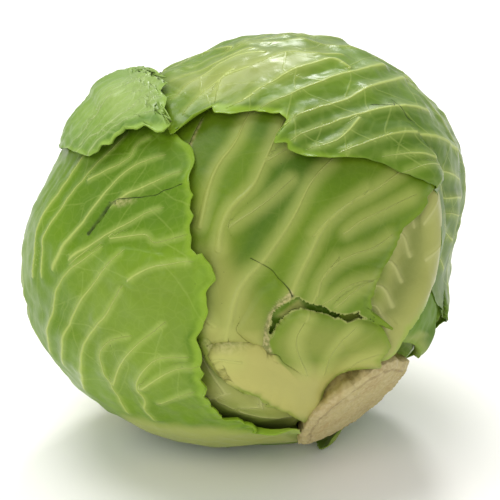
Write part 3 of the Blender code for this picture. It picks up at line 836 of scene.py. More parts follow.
class Veins:
    """The veins of a leaf as lines on the head: those that are traced, the side ribs that grow
    from its midrib where none is traced, and thin ones that branch off until they meet another."""

    STEP = 3 * MM
    MEETS = 2.2 * MM  # nearer than this to another vein, a growing one joins it
    POINT_STEP = 1 * MM
    EDGE_ROOM = 1.5 * MM
    UNDER_OTHERS = 14 * MM  # how far under another leaf a vein still grows
    RIB_STEP = 2 * MM
    BETWEEN_RIBS = 8  # steps of the midrib from one side rib to the next
    TRACED_ROOM = 16 * MM  # a side rib grows no nearer than this to a traced vein
    LONGEST_RIB, LONGEST_BRANCH = 130 * MM, 24 * MM
    THIN = 0.28
    SPACING_TRACED, SPACING_GROWN = 15 * MM, 12 * MM

    def __init__(self, leaf, details, over):
        self.leaf, self.over = leaf, over
        self.rng = np.random.default_rng(100 + leaf.seed)
        self.main, self.thin = [], []
        self.points = np.zeros((0, 3))
        for half_width, pixels in details.get("veins", []):
            self.add(self.main, rounded(seen(pixels, leaf.depth)), half_width)
        traced = len(self.main)
        self.grow_side_ribs()
        for index, (parent, _) in enumerate(self.main):
            self.branch(parent, self.SPACING_TRACED if index < traced else self.SPACING_GROWN)

    def add(self, lines, directions, half_width):
        lines.append((directions, half_width))
        self.points = np.concatenate([self.points, even_steps(directions, self.POINT_STEP)])

    def away(self, point):
        """Metres from a point to the nearest vein so far."""
        if not len(self.points):
            return 1.0
        return ARC * math.acos(min(float((self.points @ point).max()), 1.0))

    def outside(self, point):
        reach, bearing = self.leaf.polar(point[None, :])
        if (self.leaf.reach(bearing) - reach)[0] * ARC < self.EDGE_ROOM:
            return True
        return any(
            other.cover(point[None, :], -self.UNDER_OTHERS, 1 * MM)[0] > 0.5 for other in self.over
        )

    def grow(self, start, heading, turn, longest, wander=14):
        """A line on the head from a start, until it leaves the leaf or meets another vein."""
        line = [start]
        travelled = 0.0
        while travelled < longest:
            angle = self.STEP / ARC
            after = unit(math.cos(angle) * line[-1] + math.sin(angle) * heading)
            heading = unit(math.cos(angle) * heading - math.sin(angle) * line[-1])
            bend = (turn + self.rng.normal(0, wander)) * self.STEP
            heading = unit(heading + bend * np.cross(after, heading))
            line.append(after)
            travelled += self.STEP
            if self.outside(after):
                break
            if travelled > 2.1 * self.STEP and self.away(after) < self.MEETS:
                line.append(self.points[int(np.argmax(self.points @ after))])
                break
        return np.array(line)

    def grow_side_ribs(self):
        rib = even_steps(self.leaf.rib, self.RIB_STEP)
        traced = self.points
        self.points = np.concatenate([self.points, rib])
        for index in range(self.BETWEEN_RIBS // 2, len(rib) - 2, self.BETWEEN_RIBS):
            ahead = unit(rib[index + 1] - rib[index])
            for side in (-1, 1):
                heading = unit(ahead + side * 1.1 * np.cross(rib[index], ahead))
                probe = unit(rib[index] + 0.25 * heading)
                if len(traced):
                    if ARC * math.acos(min((traced @ probe).max(), 1)) < self.TRACED_ROOM:
                        continue
                line = self.grow(rib[index], heading, -side * 6, self.LONGEST_RIB)
                if len(line) > 4:
                    self.add(self.main, rounded(line), self.rng.uniform(0.5, 0.8))

    def branch(self, parent, spacing):
        places = even_steps(parent, self.POINT_STEP)
        first = self.rng.uniform(0.4, 0.9) * spacing
        side = self.rng.choice([-1, 1])
        while first < (len(places) - 3) * self.POINT_STEP:
            index = int(first / self.POINT_STEP)
            ahead = unit(places[index + 1] - places[index])
            aslant = self.rng.uniform(0.8, 1.4)
            heading = unit(ahead + side * aslant * np.cross(places[index], ahead))
            line = self.grow(places[index], heading, -side * 14, self.LONGEST_BRANCH, 36)
            if len(line) > 2 and not self.outside(line[0]):
                self.add(self.thin, rounded(line), self.THIN)
            first += self.rng.uniform(0.6, 1.3) * spacing
            side = -side


def line_distances(directions, lines, taper=0.2):
    """(signed distance, distance, half width) in millimetres from each direction to the nearest
    of the lines. The sign tells the sides of a line apart, so that it crosses 0 on the line."""
    samples, tangents, widths = [], [], []
    for line, half_width in lines:
        places = even_steps(line, LINE_STEP)
        if len(places) < 2:
            continue
        samples.append(places)
        tangents.append(unit(np.gradient(places, axis=0)))
        widths.append(half_width * np.linspace(1, taper, len(places)))
    if not samples:
        far = np.full(len(directions), FAR)
        return far, far, np.full(len(directions), 0.3)
    samples, tangents = np.concatenate(samples), np.concatenate(tangents)
    widths = np.concatenate(widths)
    nearest = nearest_of(directions, samples)
    offset = directions - samples[nearest]
    side = np.einsum("ij,ij->i", offset, np.cross(directions, tangents[nearest])) * ARC / MM
    away = np.linalg.norm(offset, axis=1) * ARC / MM
    return np.clip(side, -FAR, FAR), np.minimum(away, FAR), widths[nearest]


def nearest_of(points, samples):
    """The index of the sample nearest to each point."""
    tree = KDTree(len(samples))
    for index, sample in enumerate(samples):
        tree.insert(sample, index)
    tree.balance()
    return np.array([tree.find(point)[1] for point in points])


def wrinkles(directions, size, seed):
    """Smooth noise over the head, from about -1 to 1, with bumps of this size in metres."""
    rng = np.random.default_rng(seed)
    total = np.zeros(len(directions))
    for _ in range(10):
        wave = unit(rng.normal(size=3)) * rng.uniform(0.7, 1.4) * 2 * math.pi * ARC / size
        total += np.sin(directions @ wave + rng.uniform(0, 2 * math.pi))
    return total / 4


# The fine surface
LINE_STEP = 0.5 * MM
EDGE_FINENESS = 0.35  # how much closer the grid lies towards a leaf's edge
FINE_BLADE = 0.75 * MM
RAGGED = 0.35 * MM
NICK = 3 * MM
RUFFLE = 0.5 * MM
RUFFLE_WIDTH = 5 * MM
USUAL_WAVE = 1.2 * MM
HEM_RADIUS = 1.3 * MM
HEM_TURN_DEG = 70
RIM_STEPS = 3000
TEAR_DEPTH = 1.5 * MM  # how much higher than the leaf's own depth its tear is seen
SNAP_TO_TEAR = 0.35 * MM
SEAM_WIDTH = 22 * MM
CURLS_FROM_STALK_DEG = (22, 12)  # where margins start to curl, and over how far
THIN_RIM = 4 * MM  # width over which a leaf's margin gets thinner
THINNEST = 0.4
PALE_BASE_DEG = (21, 14)  # angle from the stalk where a pale base ends, and its usual softness
# Where the painted shade of a rolled hem's crease lies, and how wide it is
CREASE, CREASE_WIDTH = 2.6, 1.5  # how far inside a rolled hem its crease lies, in millimetres

# Widths of the relief along veins and cracks in millimetres, and the sizes and heights of puckers
RIDGE_WIDTH, CREST_WIDTH, THIN_WIDTH, CRACK_WIDTH = 3.8, 0.9, 0.9, 0.7
USUAL_VEIN, LEAST_CREST = 0.8, 0.1
WIDE_PUCKER, WIDE_HEIGHT = 18 * MM, 0.4
NARROW_PUCKER, NARROW_HEIGHT = 7 * MM, 0.18


class Blade:
    """The fine surface of one leaf, with all that is kept on its points."""

    def __init__(self, leaf, grid_x, grid_y):
        self.leaf, self.details = leaf, DETAILS[leaf.name]
        place_in_wrap = LEAVES.index(leaf)
        self.under, self.over = LEAVES[:place_in_wrap], LEAVES[place_in_wrap + 1:]
        self.lay_out(grid_x, grid_y)
        self.snap_to_tear()
        self.pixels = front_pixels(self.directions, self.leaf.depth)
        self.marks = self.measure()
        self.points = self.bend()

    def ragged_reach(self, bearing):
        """The leaf's reach with its fine nicks."""
        leaf = self.leaf
        places = around(np.stack([np.degrees(bearing), 0 * bearing], axis=-1))
        nick = wrinkles(places, NICK, 40)
        return leaf.reach(bearing) + (leaf.wave * leaf.ripple(bearing) + RAGGED * nick) / ARC

    def lay_out(self, a, b):
        """Where each grid point lies, and how far inside the leaf's edge, which is below 0 on the
        hem that rolls up beyond it."""
        leaf = self.leaf
        x, y = a * np.sqrt(1 - b * b / 2), b * np.sqrt(1 - a * a / 2)
        self.bearing = np.arctan2(y, x) + leaf.grid_turn
        share = np.minimum(np.hypot(x, y), 1)
        share = share + EDGE_FINENESS * share * (1 - share)
        self.reach = self.ragged_reach(self.bearing)
        self.place_hem()
        whole = self.reach + self.hem / ARC
        soft = leaf.soft_reach(self.bearing)
        angle = share * (soft + (whole - soft) * share**4)
        within = leaf.from_polar(np.minimum(angle, self.reach), self.bearing)
        self.directions = clear_of_stalk(within)
        turns = np.linspace(-math.pi, math.pi, RIM_STEPS, endpoint=False)
        rim = leaf.level_plan(leaf.from_polar(self.ragged_reach(turns), turns))
        plan = leaf.level_plan(self.directions)
        inside = np.linalg.norm(plan - rim[nearest_of(plan, rim)], axis=1)
        beyond = (angle - self.reach) * ARC
        self.inward = np.where(beyond > 0, -beyond, inside)

    def place_hem(self):
        """How far the leaf goes on, rolled up, beyond its patch in each bearing, how far it turns,
        and where its margin lies flat."""
        bearing, phases = self.bearing, self.leaf.phases
        edge = self.leaf.from_polar(self.reach, bearing)
        pixels = front_pixels(edge, self.leaf.depth)
        waves = np.sin(14 * bearing + phases[3]) + np.sin(23 * bearing + phases[4])
        self.hem = self.details["hem"] * MM * (0.55 + 0.225 * waves)
        self.turn = np.full(len(bearing), math.radians(HEM_TURN_DEG))
        self.rolled = np.zeros(len(bearing))
        for pixel, radius, width, turn in self.details.get("hems", []):
            near = np.exp(-(((pixels - pixel) / radius) ** 2).sum(axis=1))
            self.hem = self.hem * (1 - near) + near * width * MM * (0.8 + 0.15 * waves)
            self.rolled = np.maximum(self.rolled, near)
            self.turn = self.turn * (1 - near) + near * math.radians(turn)
        self.flat = np.zeros(len(bearing))
        self.room = np.full(len(bearing), MM)
        for place_of, radius, room in self.details.get("seams", []):
            away = np.degrees(np.arccos(np.clip(edge @ place_of, -1, 1)))
            near = np.exp(-((away / radius) ** 2))
            self.flat = np.maximum(self.flat, near)
            self.room = self.room + near * (room * MM - self.room)
        self.hem = self.hem * (1 - self.flat)

    def snap_to_tear(self):
        """Moves the points nearest to the outline of a tear onto it."""
        self.tear_away = np.full(len(self.directions), FAR)
        if "tear" not in self.details:
            return
        plan = self.leaf.plan(self.directions)
        outline = self.leaf.plan(seen(self.details["tear"], self.leaf.depth + TEAR_DEPTH))
        away, nearest, inside = outline_place(plan, outline)
        near = away < SNAP_TO_TEAR
        self.directions = np.where(near[:, None], self.leaf.from_plan(nearest), self.directions)
        self.tear_away = np.minimum(np.where(near, 0, away) / MM, FAR)
        self.tear_outline = outline

    def in_tear(self, centres):
        """Whether face centres lie in the tear."""
        return outline_place(self.leaf.plan(unit(centres - HEAD_CENTRE)), self.tear_outline)[2]

    def paint(self, kind):
        amount = np.zeros(len(self.directions))
        for name, strength, softness, outline in self.details.get("paint", []):
            if name == kind:
                amount = np.maximum(amount, strength * region(self.pixels, outline, softness))
        return amount

    def measure(self):
        """What the material and the relief read: distances in millimetres, and soft masks."""
        d, leaf = self.directions, self.leaf
        veins = Veins(leaf, self.details, self.over)
        marks = {}
        marks["vein_side"], marks["vein_away"], marks["vein_size"] = line_distances(d, veins.main)
        marks["thin_side"], marks["thin_away"], _ = line_distances(d, veins.thin)
        cracks = self.details.get("cracks", [])
        cracks = [(rounded(seen(line, leaf.depth)), half_width) for half_width, line in cracks]
        distances = line_distances(d, cracks, 0.6)
        marks["crack_side"], marks["crack_away"], marks["crack_size"] = distances
        marks["tear_away"] = self.tear_away
        marks["edge"] = np.minimum(self.inward / MM, FAR) + 9 * self.flat
        along, across = path_place(d, leaf.rib)
        from_stem = np.degrees(np.arccos(np.clip(d @ STEM, -1, 1)))
        softness = self.details.get("base", PALE_BASE_DEG[1])
        base = 1 - smooth_step((from_stem - PALE_BASE_DEG[0]) / softness)
        rib_pale = np.exp(-((across / (leaf.rib_width * 0.6)) ** 2))
        rib_pale = rib_pale * (1 - 0.6 * smooth_step(along / (200 * MM)))
        unseen = 1 - smooth_step((d @ TOWARDS + 0.2) / 0.3)
        pale = np.maximum(self.paint("pale"), np.maximum(0.85 * rib_pale * unseen, 0.8 * base))
        marks["pale"] = np.clip(pale, 0, 1)
        for kind in ("deep", "torn", "lime"):
            marks[kind] = self.paint(kind)
        # Painted shade in the crease of a rolled hem
        crease_shade = self.rolled * np.exp(-(((self.inward / MM - CREASE) / CREASE_WIDTH) ** 2))
        marks["deep"] = np.maximum(marks["deep"], 0.9 * crease_shade)
        return marks

    def relief(self):
        """Ridges along the veins, puckers between them, cracks and folds, in metres."""
        d, marks, amount = self.directions, self.marks, self.details["relief"]
        size = marks["vein_size"] / USUAL_VEIN
        calm = 1 - 0.8 * np.clip(marks["pale"], 0, 1)
        ridge = amount * size * np.exp(-((marks["vein_away"] / RIDGE_WIDTH) ** 2))
        crest = 0.3 * size * np.exp(-((marks["vein_away"] / CREST_WIDTH) ** 2)) * calm
        thin = 0.06 * np.exp(-((marks["thin_away"] / THIN_WIDTH) ** 2))
        pucker = WIDE_HEIGHT * amount * wrinkles(d, WIDE_PUCKER, 7)
        pucker = pucker + NARROW_HEIGHT * amount * wrinkles(d, NARROW_PUCKER, 8)
        free = np.ones(len(d))
        for other in self.over:
            free = free * (1 - other.cover(d, -3 * MM, 5 * MM))
        crack = -0.7 * marks["crack_size"] * np.exp(-((marks["crack_away"] / CRACK_WIDTH) ** 2))
        raised = free * calm * (ridge + thin + np.maximum(pucker, -0.4) + self.folds()) + crack
        swell = np.zeros(len(d))
        for height, softness, outline, middle, radius in self.details.get("swells", []):
            near = np.exp(-(((self.pixels - middle) / radius) ** 2).sum(axis=1))
            swell = swell + height * near * region(self.pixels, outline, softness)
        return MM * raised, MM * swell, MM * (crest + LEAST_CREST)

    def folds(self):
        """Narrow folds side by side, in millimetres, along the way from one pixel to another."""
        total = np.zeros(len(self.directions))
        for height, spacing, start, end in self.details.get("folds", []):
            first, last = seen([start, end], self.leaf.depth)
            across = unit(np.cross(unit(first + last), last - first))
            phase = self.directions @ across * ARC / (spacing * MM)
            phase = phase + 0.35 * wrinkles(self.directions, 30 * MM, 11)
            strength = np.clip(0.6 + 0.5 * wrinkles(self.directions, 22 * MM, 12), 0, 1.2)
            total = total + height * strength * (1 - np.abs(np.sin(math.pi * phase)))
        return total

    def bend(self):
        """The inner surface of the leaf, and its thickness as self.thickness."""
        leaf, d = self.leaf, self.directions
        raised, swell, crest = self.relief()
        height = GAP + leaf.raised + sum(other.build_up(d) for other in self.under)
        inward = np.maximum(self.inward, 0)
        seam = self.flat * np.exp(-((inward / SEAM_WIDTH) ** 2))
        height = height + seam * (self.settled(d) - height)
        height = height + leaf.pleats(d) * 0.6 + raised * (1 - seam) + swell
        bare = np.ones(len(d))
        for other in self.over:
            bare = bare * (1 - other.cover(d))
        from_stem = np.degrees(np.arccos(np.clip(d @ STEM, -1, 1)))
        bare = bare * smooth_step((from_stem - CURLS_FROM_STALK_DEG[0]) / CURLS_FROM_STALK_DEG[1])
        curl = leaf.lift * (0.6 + 0.4 * leaf.ripple(self.bearing + 0.4)) * (1 - self.flat)
        beat = np.sin(61 * self.bearing + leaf.phases[5])
        beat = beat * np.sin(23 * self.bearing + leaf.phases[1])
        ruffle = RUFFLE * leaf.wave / USUAL_WAVE * (1 + beat) * (1 - self.flat)
        height = height + bare * curl * np.exp(-inward / leaf.lift_width)
        height = height + bare * ruffle * np.exp(-inward / RUFFLE_WIDTH)
        thin_edge = THINNEST + (1 - THINNEST) * smooth_step(inward / THIN_RIM)
        self.thickness = FINE_BLADE * thin_edge + leaf.rib_relief(d) + crest * thin_edge
        points = place(d, above_floor(d, inner_radius(d) + height))
        return self.roll_hem(points, bare)

    def settled(self, directions):
        """The height at which a margin lies right on the leaf beneath it."""
        height = np.full(len(directions), GAP)
        for index, other in enumerate(self.under):
            lower = sum((leaf.build_up(directions) for leaf in self.under[:index]), 0)
            top = GAP + lower + FINE_BLADE + other.rib_relief(directions) + self.room
            height = np.where(other.cover(directions, 0, 1 * MM) > 0.5, top, height)
        return height

    def roll_hem(self, points, bare):
        """Rolls what lies beyond the leaf's edge up and back, on a small radius."""
        beyond = np.maximum(-self.inward, 0)
        outward = -np.sin(self.reach)[:, None] * self.leaf.centre + np.cos(self.reach)[:, None] * (
            np.cos(self.bearing)[:, None] * self.leaf.to_stalk
            + np.sin(self.bearing)[:, None] * self.leaf.across
        )
        most = self.turn * bare
        turned = np.minimum(beyond / HEM_RADIUS, most)
        rest = beyond - turned * HEM_RADIUS
        level = HEM_RADIUS * np.sin(turned) + rest * np.cos(most)
        rise = HEM_RADIUS * (1 - np.cos(turned)) + rest * np.sin(most)
        return points + outward * level[:, None] + self.directions * rise[:, None]


def select_only(obj):
    """Deselects everything, and makes one object active."""
    bpy.ops.object.select_all(action="DESELECT")
    obj.select_set(True)
    bpy.context.view_layer.objects.active = obj


def apply_modifier(obj, kind, **settings):
    select_only(obj)
    bpy.ops.object.modifier_add(type=kind)
    modifier = obj.modifiers[-1]
    for name, value in settings.items():
        setattr(modifier, name, value)
    bpy.ops.object.modifier_apply(modifier=modifier.name)


def coordinates(mesh):
    flat = np.zeros(3 * len(mesh.vertices), np.float32)
    mesh.vertices.foreach_get("co", flat)
    return flat.reshape(-1, 3).astype(float)


def set_coordinates(mesh, points):
    mesh.vertices.foreach_set("co", np.asarray(points, np.float32).ravel())
    mesh.update()


def keep_marks(mesh, marks):
    """Keeps named values on the points of a mesh, for its material to read."""
    for name, values in marks.items():
        mark = mesh.attributes.new(name, "FLOAT", "POINT")
        mark.data.foreach_set("value", values.astype(np.float32))


def edit_all(obj, operator, **settings):
    """Runs an operator of edit mode on the whole of a mesh."""
    select_only(obj)
    bpy.ops.object.mode_set(mode="EDIT")
    bpy.ops.mesh.select_all(action="SELECT")
    operator(**settings)
    bpy.ops.object.mode_set(mode="OBJECT")


def delete_faces(obj, chosen):
    """Deletes the faces that are chosen, a true or false for each."""
    select_only(obj)
    mesh = obj.data
    mesh.polygons.foreach_set("select", np.asarray(chosen, bool))
    bpy.ops.object.mode_set(mode="EDIT")
    bpy.ops.mesh.select_mode(type="FACE")
    bpy.ops.object.mode_set(mode="OBJECT")
    mesh.polygons.foreach_set("select", np.asarray(chosen, bool))
    bpy.ops.object.mode_set(mode="EDIT")
    bpy.ops.mesh.delete(type="FACE")
    bpy.ops.object.mode_set(mode="OBJECT")


def finish_piece(obj, node, material):
    obj.data.materials.clear()
    obj.data.materials.append(material)
    select_only(obj)
    bpy.ops.object.shade_smooth()
    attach(obj, "root")
    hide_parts(node)


def make_leaf(name, material):
    """A fine leaf in the place of its solid."""
    leaf = LEAF[name]
    cells = leaf.cells
    bpy.ops.mesh.primitive_grid_add(x_subdivisions=cells, y_subdivisions=cells, size=2)
    obj = bpy.context.active_object
    obj.name = "fine_" + name
    mesh = obj.data
    flat = coordinates(mesh)
    blade = Blade(leaf, flat[:, 0], flat[:, 1])
    set_coordinates(mesh, blade.points)
    keep_marks(mesh, blade.marks)
    thickest = float(blade.thickness.max())
    select_only(obj)
    bpy.ops.object.vertex_group_add()
    group = obj.vertex_groups[-1]
    for index, value in enumerate(blade.thickness / thickest):
        group.add([index], float(value), "REPLACE")
    if "tear" in DETAILS[name]:
        centres = np.array([polygon.center for polygon in mesh.polygons])
        delete_faces(obj, blade.in_tear(centres))
        mesh = obj.data
    middle = mesh.polygons[len(mesh.polygons) // 2]
    if middle.normal.dot(middle.center - Vector(HEAD_CENTRE)) < 0:
        edit_all(obj, bpy.ops.mesh.flip_normals)
    apply_modifier(obj, "SOLIDIFY", thickness=thickest, offset=1, vertex_group=group.name)
    points = coordinates(mesh)
    points[:, 2] = np.maximum(points[:, 2], 0)
    set_coordinates(mesh, points)
    finish_piece(obj, name, material)


def ring_piece(node, rings, segments, material, mark, move=None):
    """A closed piece of rings round the stalk's axis, in place of a node. Each ring gives an angle
    from the axis for each bearing, and a radius for each direction. The first and last are poles."""
    bpy.ops.mesh.primitive_uv_sphere_add(segments=segments, ring_count=len(rings) - 1, radius=1)
    obj = bpy.context.active_object
    obj.name = "fine_" + node
    mesh = obj.data
    side_a = unit(np.cross(STEM, RIGHT))
    side_b = np.cross(STEM, side_a)
    flat = coordinates(mesh)
    latitude = np.arccos(np.clip(flat[:, 2], -1, 1)) / math.pi * (len(rings) - 1)
    ring_of = np.rint(latitude).astype(int)
    bearing = np.arctan2(flat[:, 1], flat[:, 0])
    points = np.zeros_like(flat)
    for index, (angle_at, radius_at) in enumerate(rings):
        chosen = ring_of == index
        turn = bearing[chosen]
        angle = angle_at(turn) * np.ones(len(turn))
        across = np.cos(turn)[:, None] * side_a + np.sin(turn)[:, None] * side_b
        directions = np.cos(angle)[:, None] * STEM + np.sin(angle)[:, None] * across
        points[chosen] = place(directions, radius_at(directions) * np.ones(len(turn)))
    keep_marks(mesh, mark(points, ring_of))
    set_coordinates(mesh, move(points) if move else points)
    edit_all(obj, bpy.ops.mesh.normals_make_consistent, inside=False)
    finish_piece(obj, node, material)


INNER_RINGS, INNER_SEGMENTS = 160, 288
FACE_RINGS, SIDE_RINGS, STALK_SEGMENTS = 60, 40, 260


def make_inner_head(material):
    """The tight inner head, which shows only through the gaps and tears of its leaves."""
    socket = math.radians(STALK_HALF_ANGLE_DEG + 0.8)
    floor = STALK_ROOT - GAP
    rings = [
        (lambda turn: 0.0, lambda d: floor), (lambda turn: socket * 0.6, lambda d: floor),
        (lambda turn: socket, lambda d: floor), (lambda turn: socket, inner_radius),
    ]
    for angle in np.linspace(socket, math.pi, INNER_RINGS)[1:]:
        rings.append((lambda turn, angle=angle: angle, inner_radius))

    def marks(points, _):
        pixels = front_pixels(unit(points - HEAD_CENTRE), 0)
        rim = [(276, 318), (301, 299), (314, 308), (298, 315), (288, 323)]
        corner = [(170, 134), (204, 112), (186, 148)]
        pale = 0.9 * np.maximum(region(pixels, rim, 3), region(pixels, corner, 4))
        # Painted shade in the slit and the hole that the tear of the centre leaf shows
        slit_shade = region(pixels, [(300, 299), (375, 312), (375, 328), (310, 318)], 5)
        hole_shade = region(pixels, [(272, 318), (290, 319), (280, 336), (270, 344)], 3)
        far, none = np.full(len(points), FAR), np.zeros(len(points))
        values = {"torn": none, "lime": none, "pale": pale, "deep": np.maximum(slit_shade, hole_shade)}
        for kind in ("vein", "thin", "crack"):
            values.update({kind + "_side": far, kind + "_away": far})
        sizes = {"vein_size": none + 0.5, "crack_size": none + 0.5}
        return {**values, **sizes, "tear_away": far, "edge": far}

    ring_piece("inner_head", rings, INNER_SEGMENTS, material, marks)


def make_stalk(material):
    """The cut stalk: a domed, fibrous cut with a ragged rim, and old leaf bases round its side."""
    half = math.radians(STALK_HALF_ANGLE_DEG)
    lobes = np.random.default_rng(5).uniform(0, 2 * math.pi, 4)

    def lobed(share):
        def angle(turn):
            wide = 1 + np.sin(5 * turn + 0.6)
            fine = 0.016 * np.sin(11 * turn + lobes[0]) + 0.012 * np.sin(19 * turn + lobes[1])
            fine = fine + 0.006 * np.sin(47 * turn + lobes[2])
            return half * share * (1 - 0.035 * wide + fine * share)

        return angle

    def cut_face(share):
        def radius(directions):
            dome = STALK_CUT_DOME * (1 - share**2) - 1.6 * MM * smooth_step((share - 0.88) / 0.12)
            rough = 0.45 * MM * wrinkles(directions, 6 * MM, 3)
            rough = rough + 0.22 * MM * wrinkles(directions, 2 * MM, 4)
            ring_line = -0.6 * MM * math.exp(-(((share - 0.86) / 0.02) ** 2))
            return (STALK_CUT - STALK_CUT_DOME + dome) / (directions @ STEM) + rough + ring_line

        return radius

    def side(depth):
        def radius(directions):
            rough = 0.5 * MM * wrinkles(directions, 5 * MM, 6)
            rough = rough + 0.3 * MM * wrinkles(directions, 2 * MM, 9)
            return STALK_CUT * (1 - depth) + STALK_ROOT * depth + rough

        return radius

    rings = [(lobed(share), cut_face(share)) for share in np.linspace(0, 1, FACE_RINGS)]
    for depth in np.linspace(0.03, 1, SIDE_RINGS):
        scars = 1 - 0.05 * math.sin(9 * depth) ** 2 - 0.08 * smooth_step((depth - 0.5) / 0.5)
        rings.append((lobed(scars), side(depth)))
    rings += [(lobed(0.45), lambda d: STALK_ROOT), (lobed(0.0), lambda d: STALK_ROOT)]

    def marks(points, ring_of):
        share = np.clip(ring_of / (FACE_RINGS - 1), 0, 1)
        stain = smooth_step((ring_of - FACE_RINGS + 3) / 5)
        upper_left = (unit(points - HEAD_CENTRE) - STEM) @ unit(UP - 0.8 * RIGHT)
        inner = smooth_step(upper_left / 0.1 - 2.2) * smooth_step((share - 0.8) / 0.1)
        return {"share": share, "stain": np.maximum(stain, inner)}

    def shifted(points):
        depth = ((points - HEAD_CENTRE) @ STEM - STALK_ROOT) / (STALK_CUT - STALK_ROOT)
        outer = smooth_step(depth)[:, None]
        moved = points + outer * (STALK_SHIFT_RIGHT * RIGHT + STALK_SHIFT_UP * UP)
        along = unit(0.8 * RIGHT + 0.6 * UP)
        place_along = (points - HEAD_CENTRE) @ along + STALK_HOLD
        return moved - STALK_SHORTER * outer * place_along[:, None] * along

    ring_piece("stalk", rings, STALK_SEGMENTS, material, marks, shifted)


class Tree:
    """A node tree with short calls to add and join its nodes."""

    def __init__(self, tree):
        self.tree = tree

    def add(self, kind, settings=None, **inputs):
        """A node, with its inputs named in plain words or numbered as _0, _1 and so on. An input
        takes a value or the output of another node."""
        node = self.tree.nodes.new(kind)
        for name, value in (settings or {}).items():
            setattr(node, name, value)
        for name, value in inputs.items():
            key = int(name[1:]) if name[0] == "_" else name.replace("_", " ")
            if isinstance(value, bpy.types.NodeSocket):
                self.join(value, node.inputs[key])
            else:
                node.inputs[key].default_value = value
        return node

    def mark(self, name):
        """A value that is kept on the points of a piece."""
        return self.add("ShaderNodeAttribute", {"attribute_name": name}).outputs["Fac"]

    def maths(self, operation, *values):
        inputs = {f"_{index}": value for index, value in enumerate(values)}
        return self.add("ShaderNodeMath", {"operation": operation}, **inputs).outputs[0]

    def fade(self, value, start, end, low=0.0, high=1.0):
        """A smooth change from low to high as the value goes from start to end."""
        node = self.add(
            "ShaderNodeMapRange", {"interpolation_type": "SMOOTHSTEP"}, _0=value, _1=start, _2=end,
            _3=low, _4=high,
        )
        return node.outputs[0]

    def mix(self, share, first, second):
        node = self.add("ShaderNodeMix", {"data_type": "RGBA"}, _0=share, _6=first, _7=second)
        return node.outputs[2]

    def noise(self, scale, detail, output="Fac"):
        """Cloudy noise in the piece's own space, with so many clouds to the metre."""
        own = self.add("ShaderNodeTexCoord").outputs["Object"]
        node = self.add("ShaderNodeTexNoise", Vector=own, Scale=scale, Detail=detail)
        return node.outputs[output]

    def join(self, value, socket):
        self.tree.links.new(value, socket)


def new_group(name, inputs, outputs):
    """A shader node group with float or colour inputs and outputs, from name to default."""
    group = bpy.data.node_groups.new(name, "ShaderNodeTree")
    for label, default in inputs.items():
        kind = "NodeSocketColor" if isinstance(default, tuple) else "NodeSocketFloat"
        socket = group.interface.new_socket(label, in_out="INPUT", socket_type=kind)
        socket.default_value = default
    for label, kind in outputs.items():
        group.interface.new_socket(label, in_out="OUTPUT", socket_type=kind)
    given, wanted = group.nodes.new("NodeGroupInput"), group.nodes.new("NodeGroupOutput")
    return Tree(group), given.outputs, wanted.inputs


NET_CELLS = 260.0  # to the metre
HALO_WIDTH = 2.5  # in millimetres, as the distances on the points are
LEAF_BUMP = 0.6 * MM
STALK_BUMP = 0.8 * MM


def vein_lines_group():
    """Masks of the main veins, their soft halo, the thin veins, cracks and torn rims."""
    tree, given, wanted = new_group(
        "vein lines", {"Halo Width": HALO_WIDTH},
        {key: "NodeSocketFloat" for key in ("Main", "Halo", "Thin", "Crack", "Torn")},
    )
    for key, kind, size, side_fade, near_fade in (
        ("Main", "vein", tree.mark("vein_size"), (0.1, 1.5), (1.6, 2.4)),
        ("Thin", "thin", 1.0, (0.08, 0.5), (1.2, 2.0)),
        ("Crack", "crack", tree.mark("crack_size"), (0.25, 0.9), (1.5, 2.1)),
    ):
        side = tree.maths("DIVIDE", tree.maths("ABSOLUTE", tree.mark(kind + "_side")), size)
        near = tree.fade(tree.mark(kind + "_away"), *near_fade, 1.0, 0.0)
        line = tree.maths("MULTIPLY", tree.fade(side, *side_fade, 1.0, 0.0), near)
        tree.join(line, wanted[key])
    halo = tree.fade(tree.mark("vein_away"), 0.0, given["Halo Width"], 1.0, 0.0)
    tree.join(halo, wanted["Halo"])
    tree.join(tree.fade(tree.mark("tear_away"), 0.1, 0.9, 1.0, 0.0), wanted["Torn"])
    return tree.tree


def net_veins_group():
    """The fine net between the veins, as lines of irregular cells."""
    tree, given, wanted = new_group(
        "net veins", {"Cells Per Metre": NET_CELLS}, {"Net": "NodeSocketFloat"}
    )
    place_of = tree.add("ShaderNodeTexCoord").outputs["Object"]
    warp = tree.noise(120.0, 2.0, "Color")
    shifted = tree.add("ShaderNodeVectorMath", {"operation": "MULTIPLY_ADD"}, _0=warp,
                       _1=(0.004, 0.004, 0.004), _2=place_of).outputs[0]
    cells = tree.add("ShaderNodeTexVoronoi", {"feature": "DISTANCE_TO_EDGE"}, Vector=shifted,
                     Scale=given["Cells Per Metre"]).outputs["Distance"]
    tree.join(tree.fade(cells, 0.01, 0.11, 1.0, 0.0), wanted["Net"])
    return tree.tree


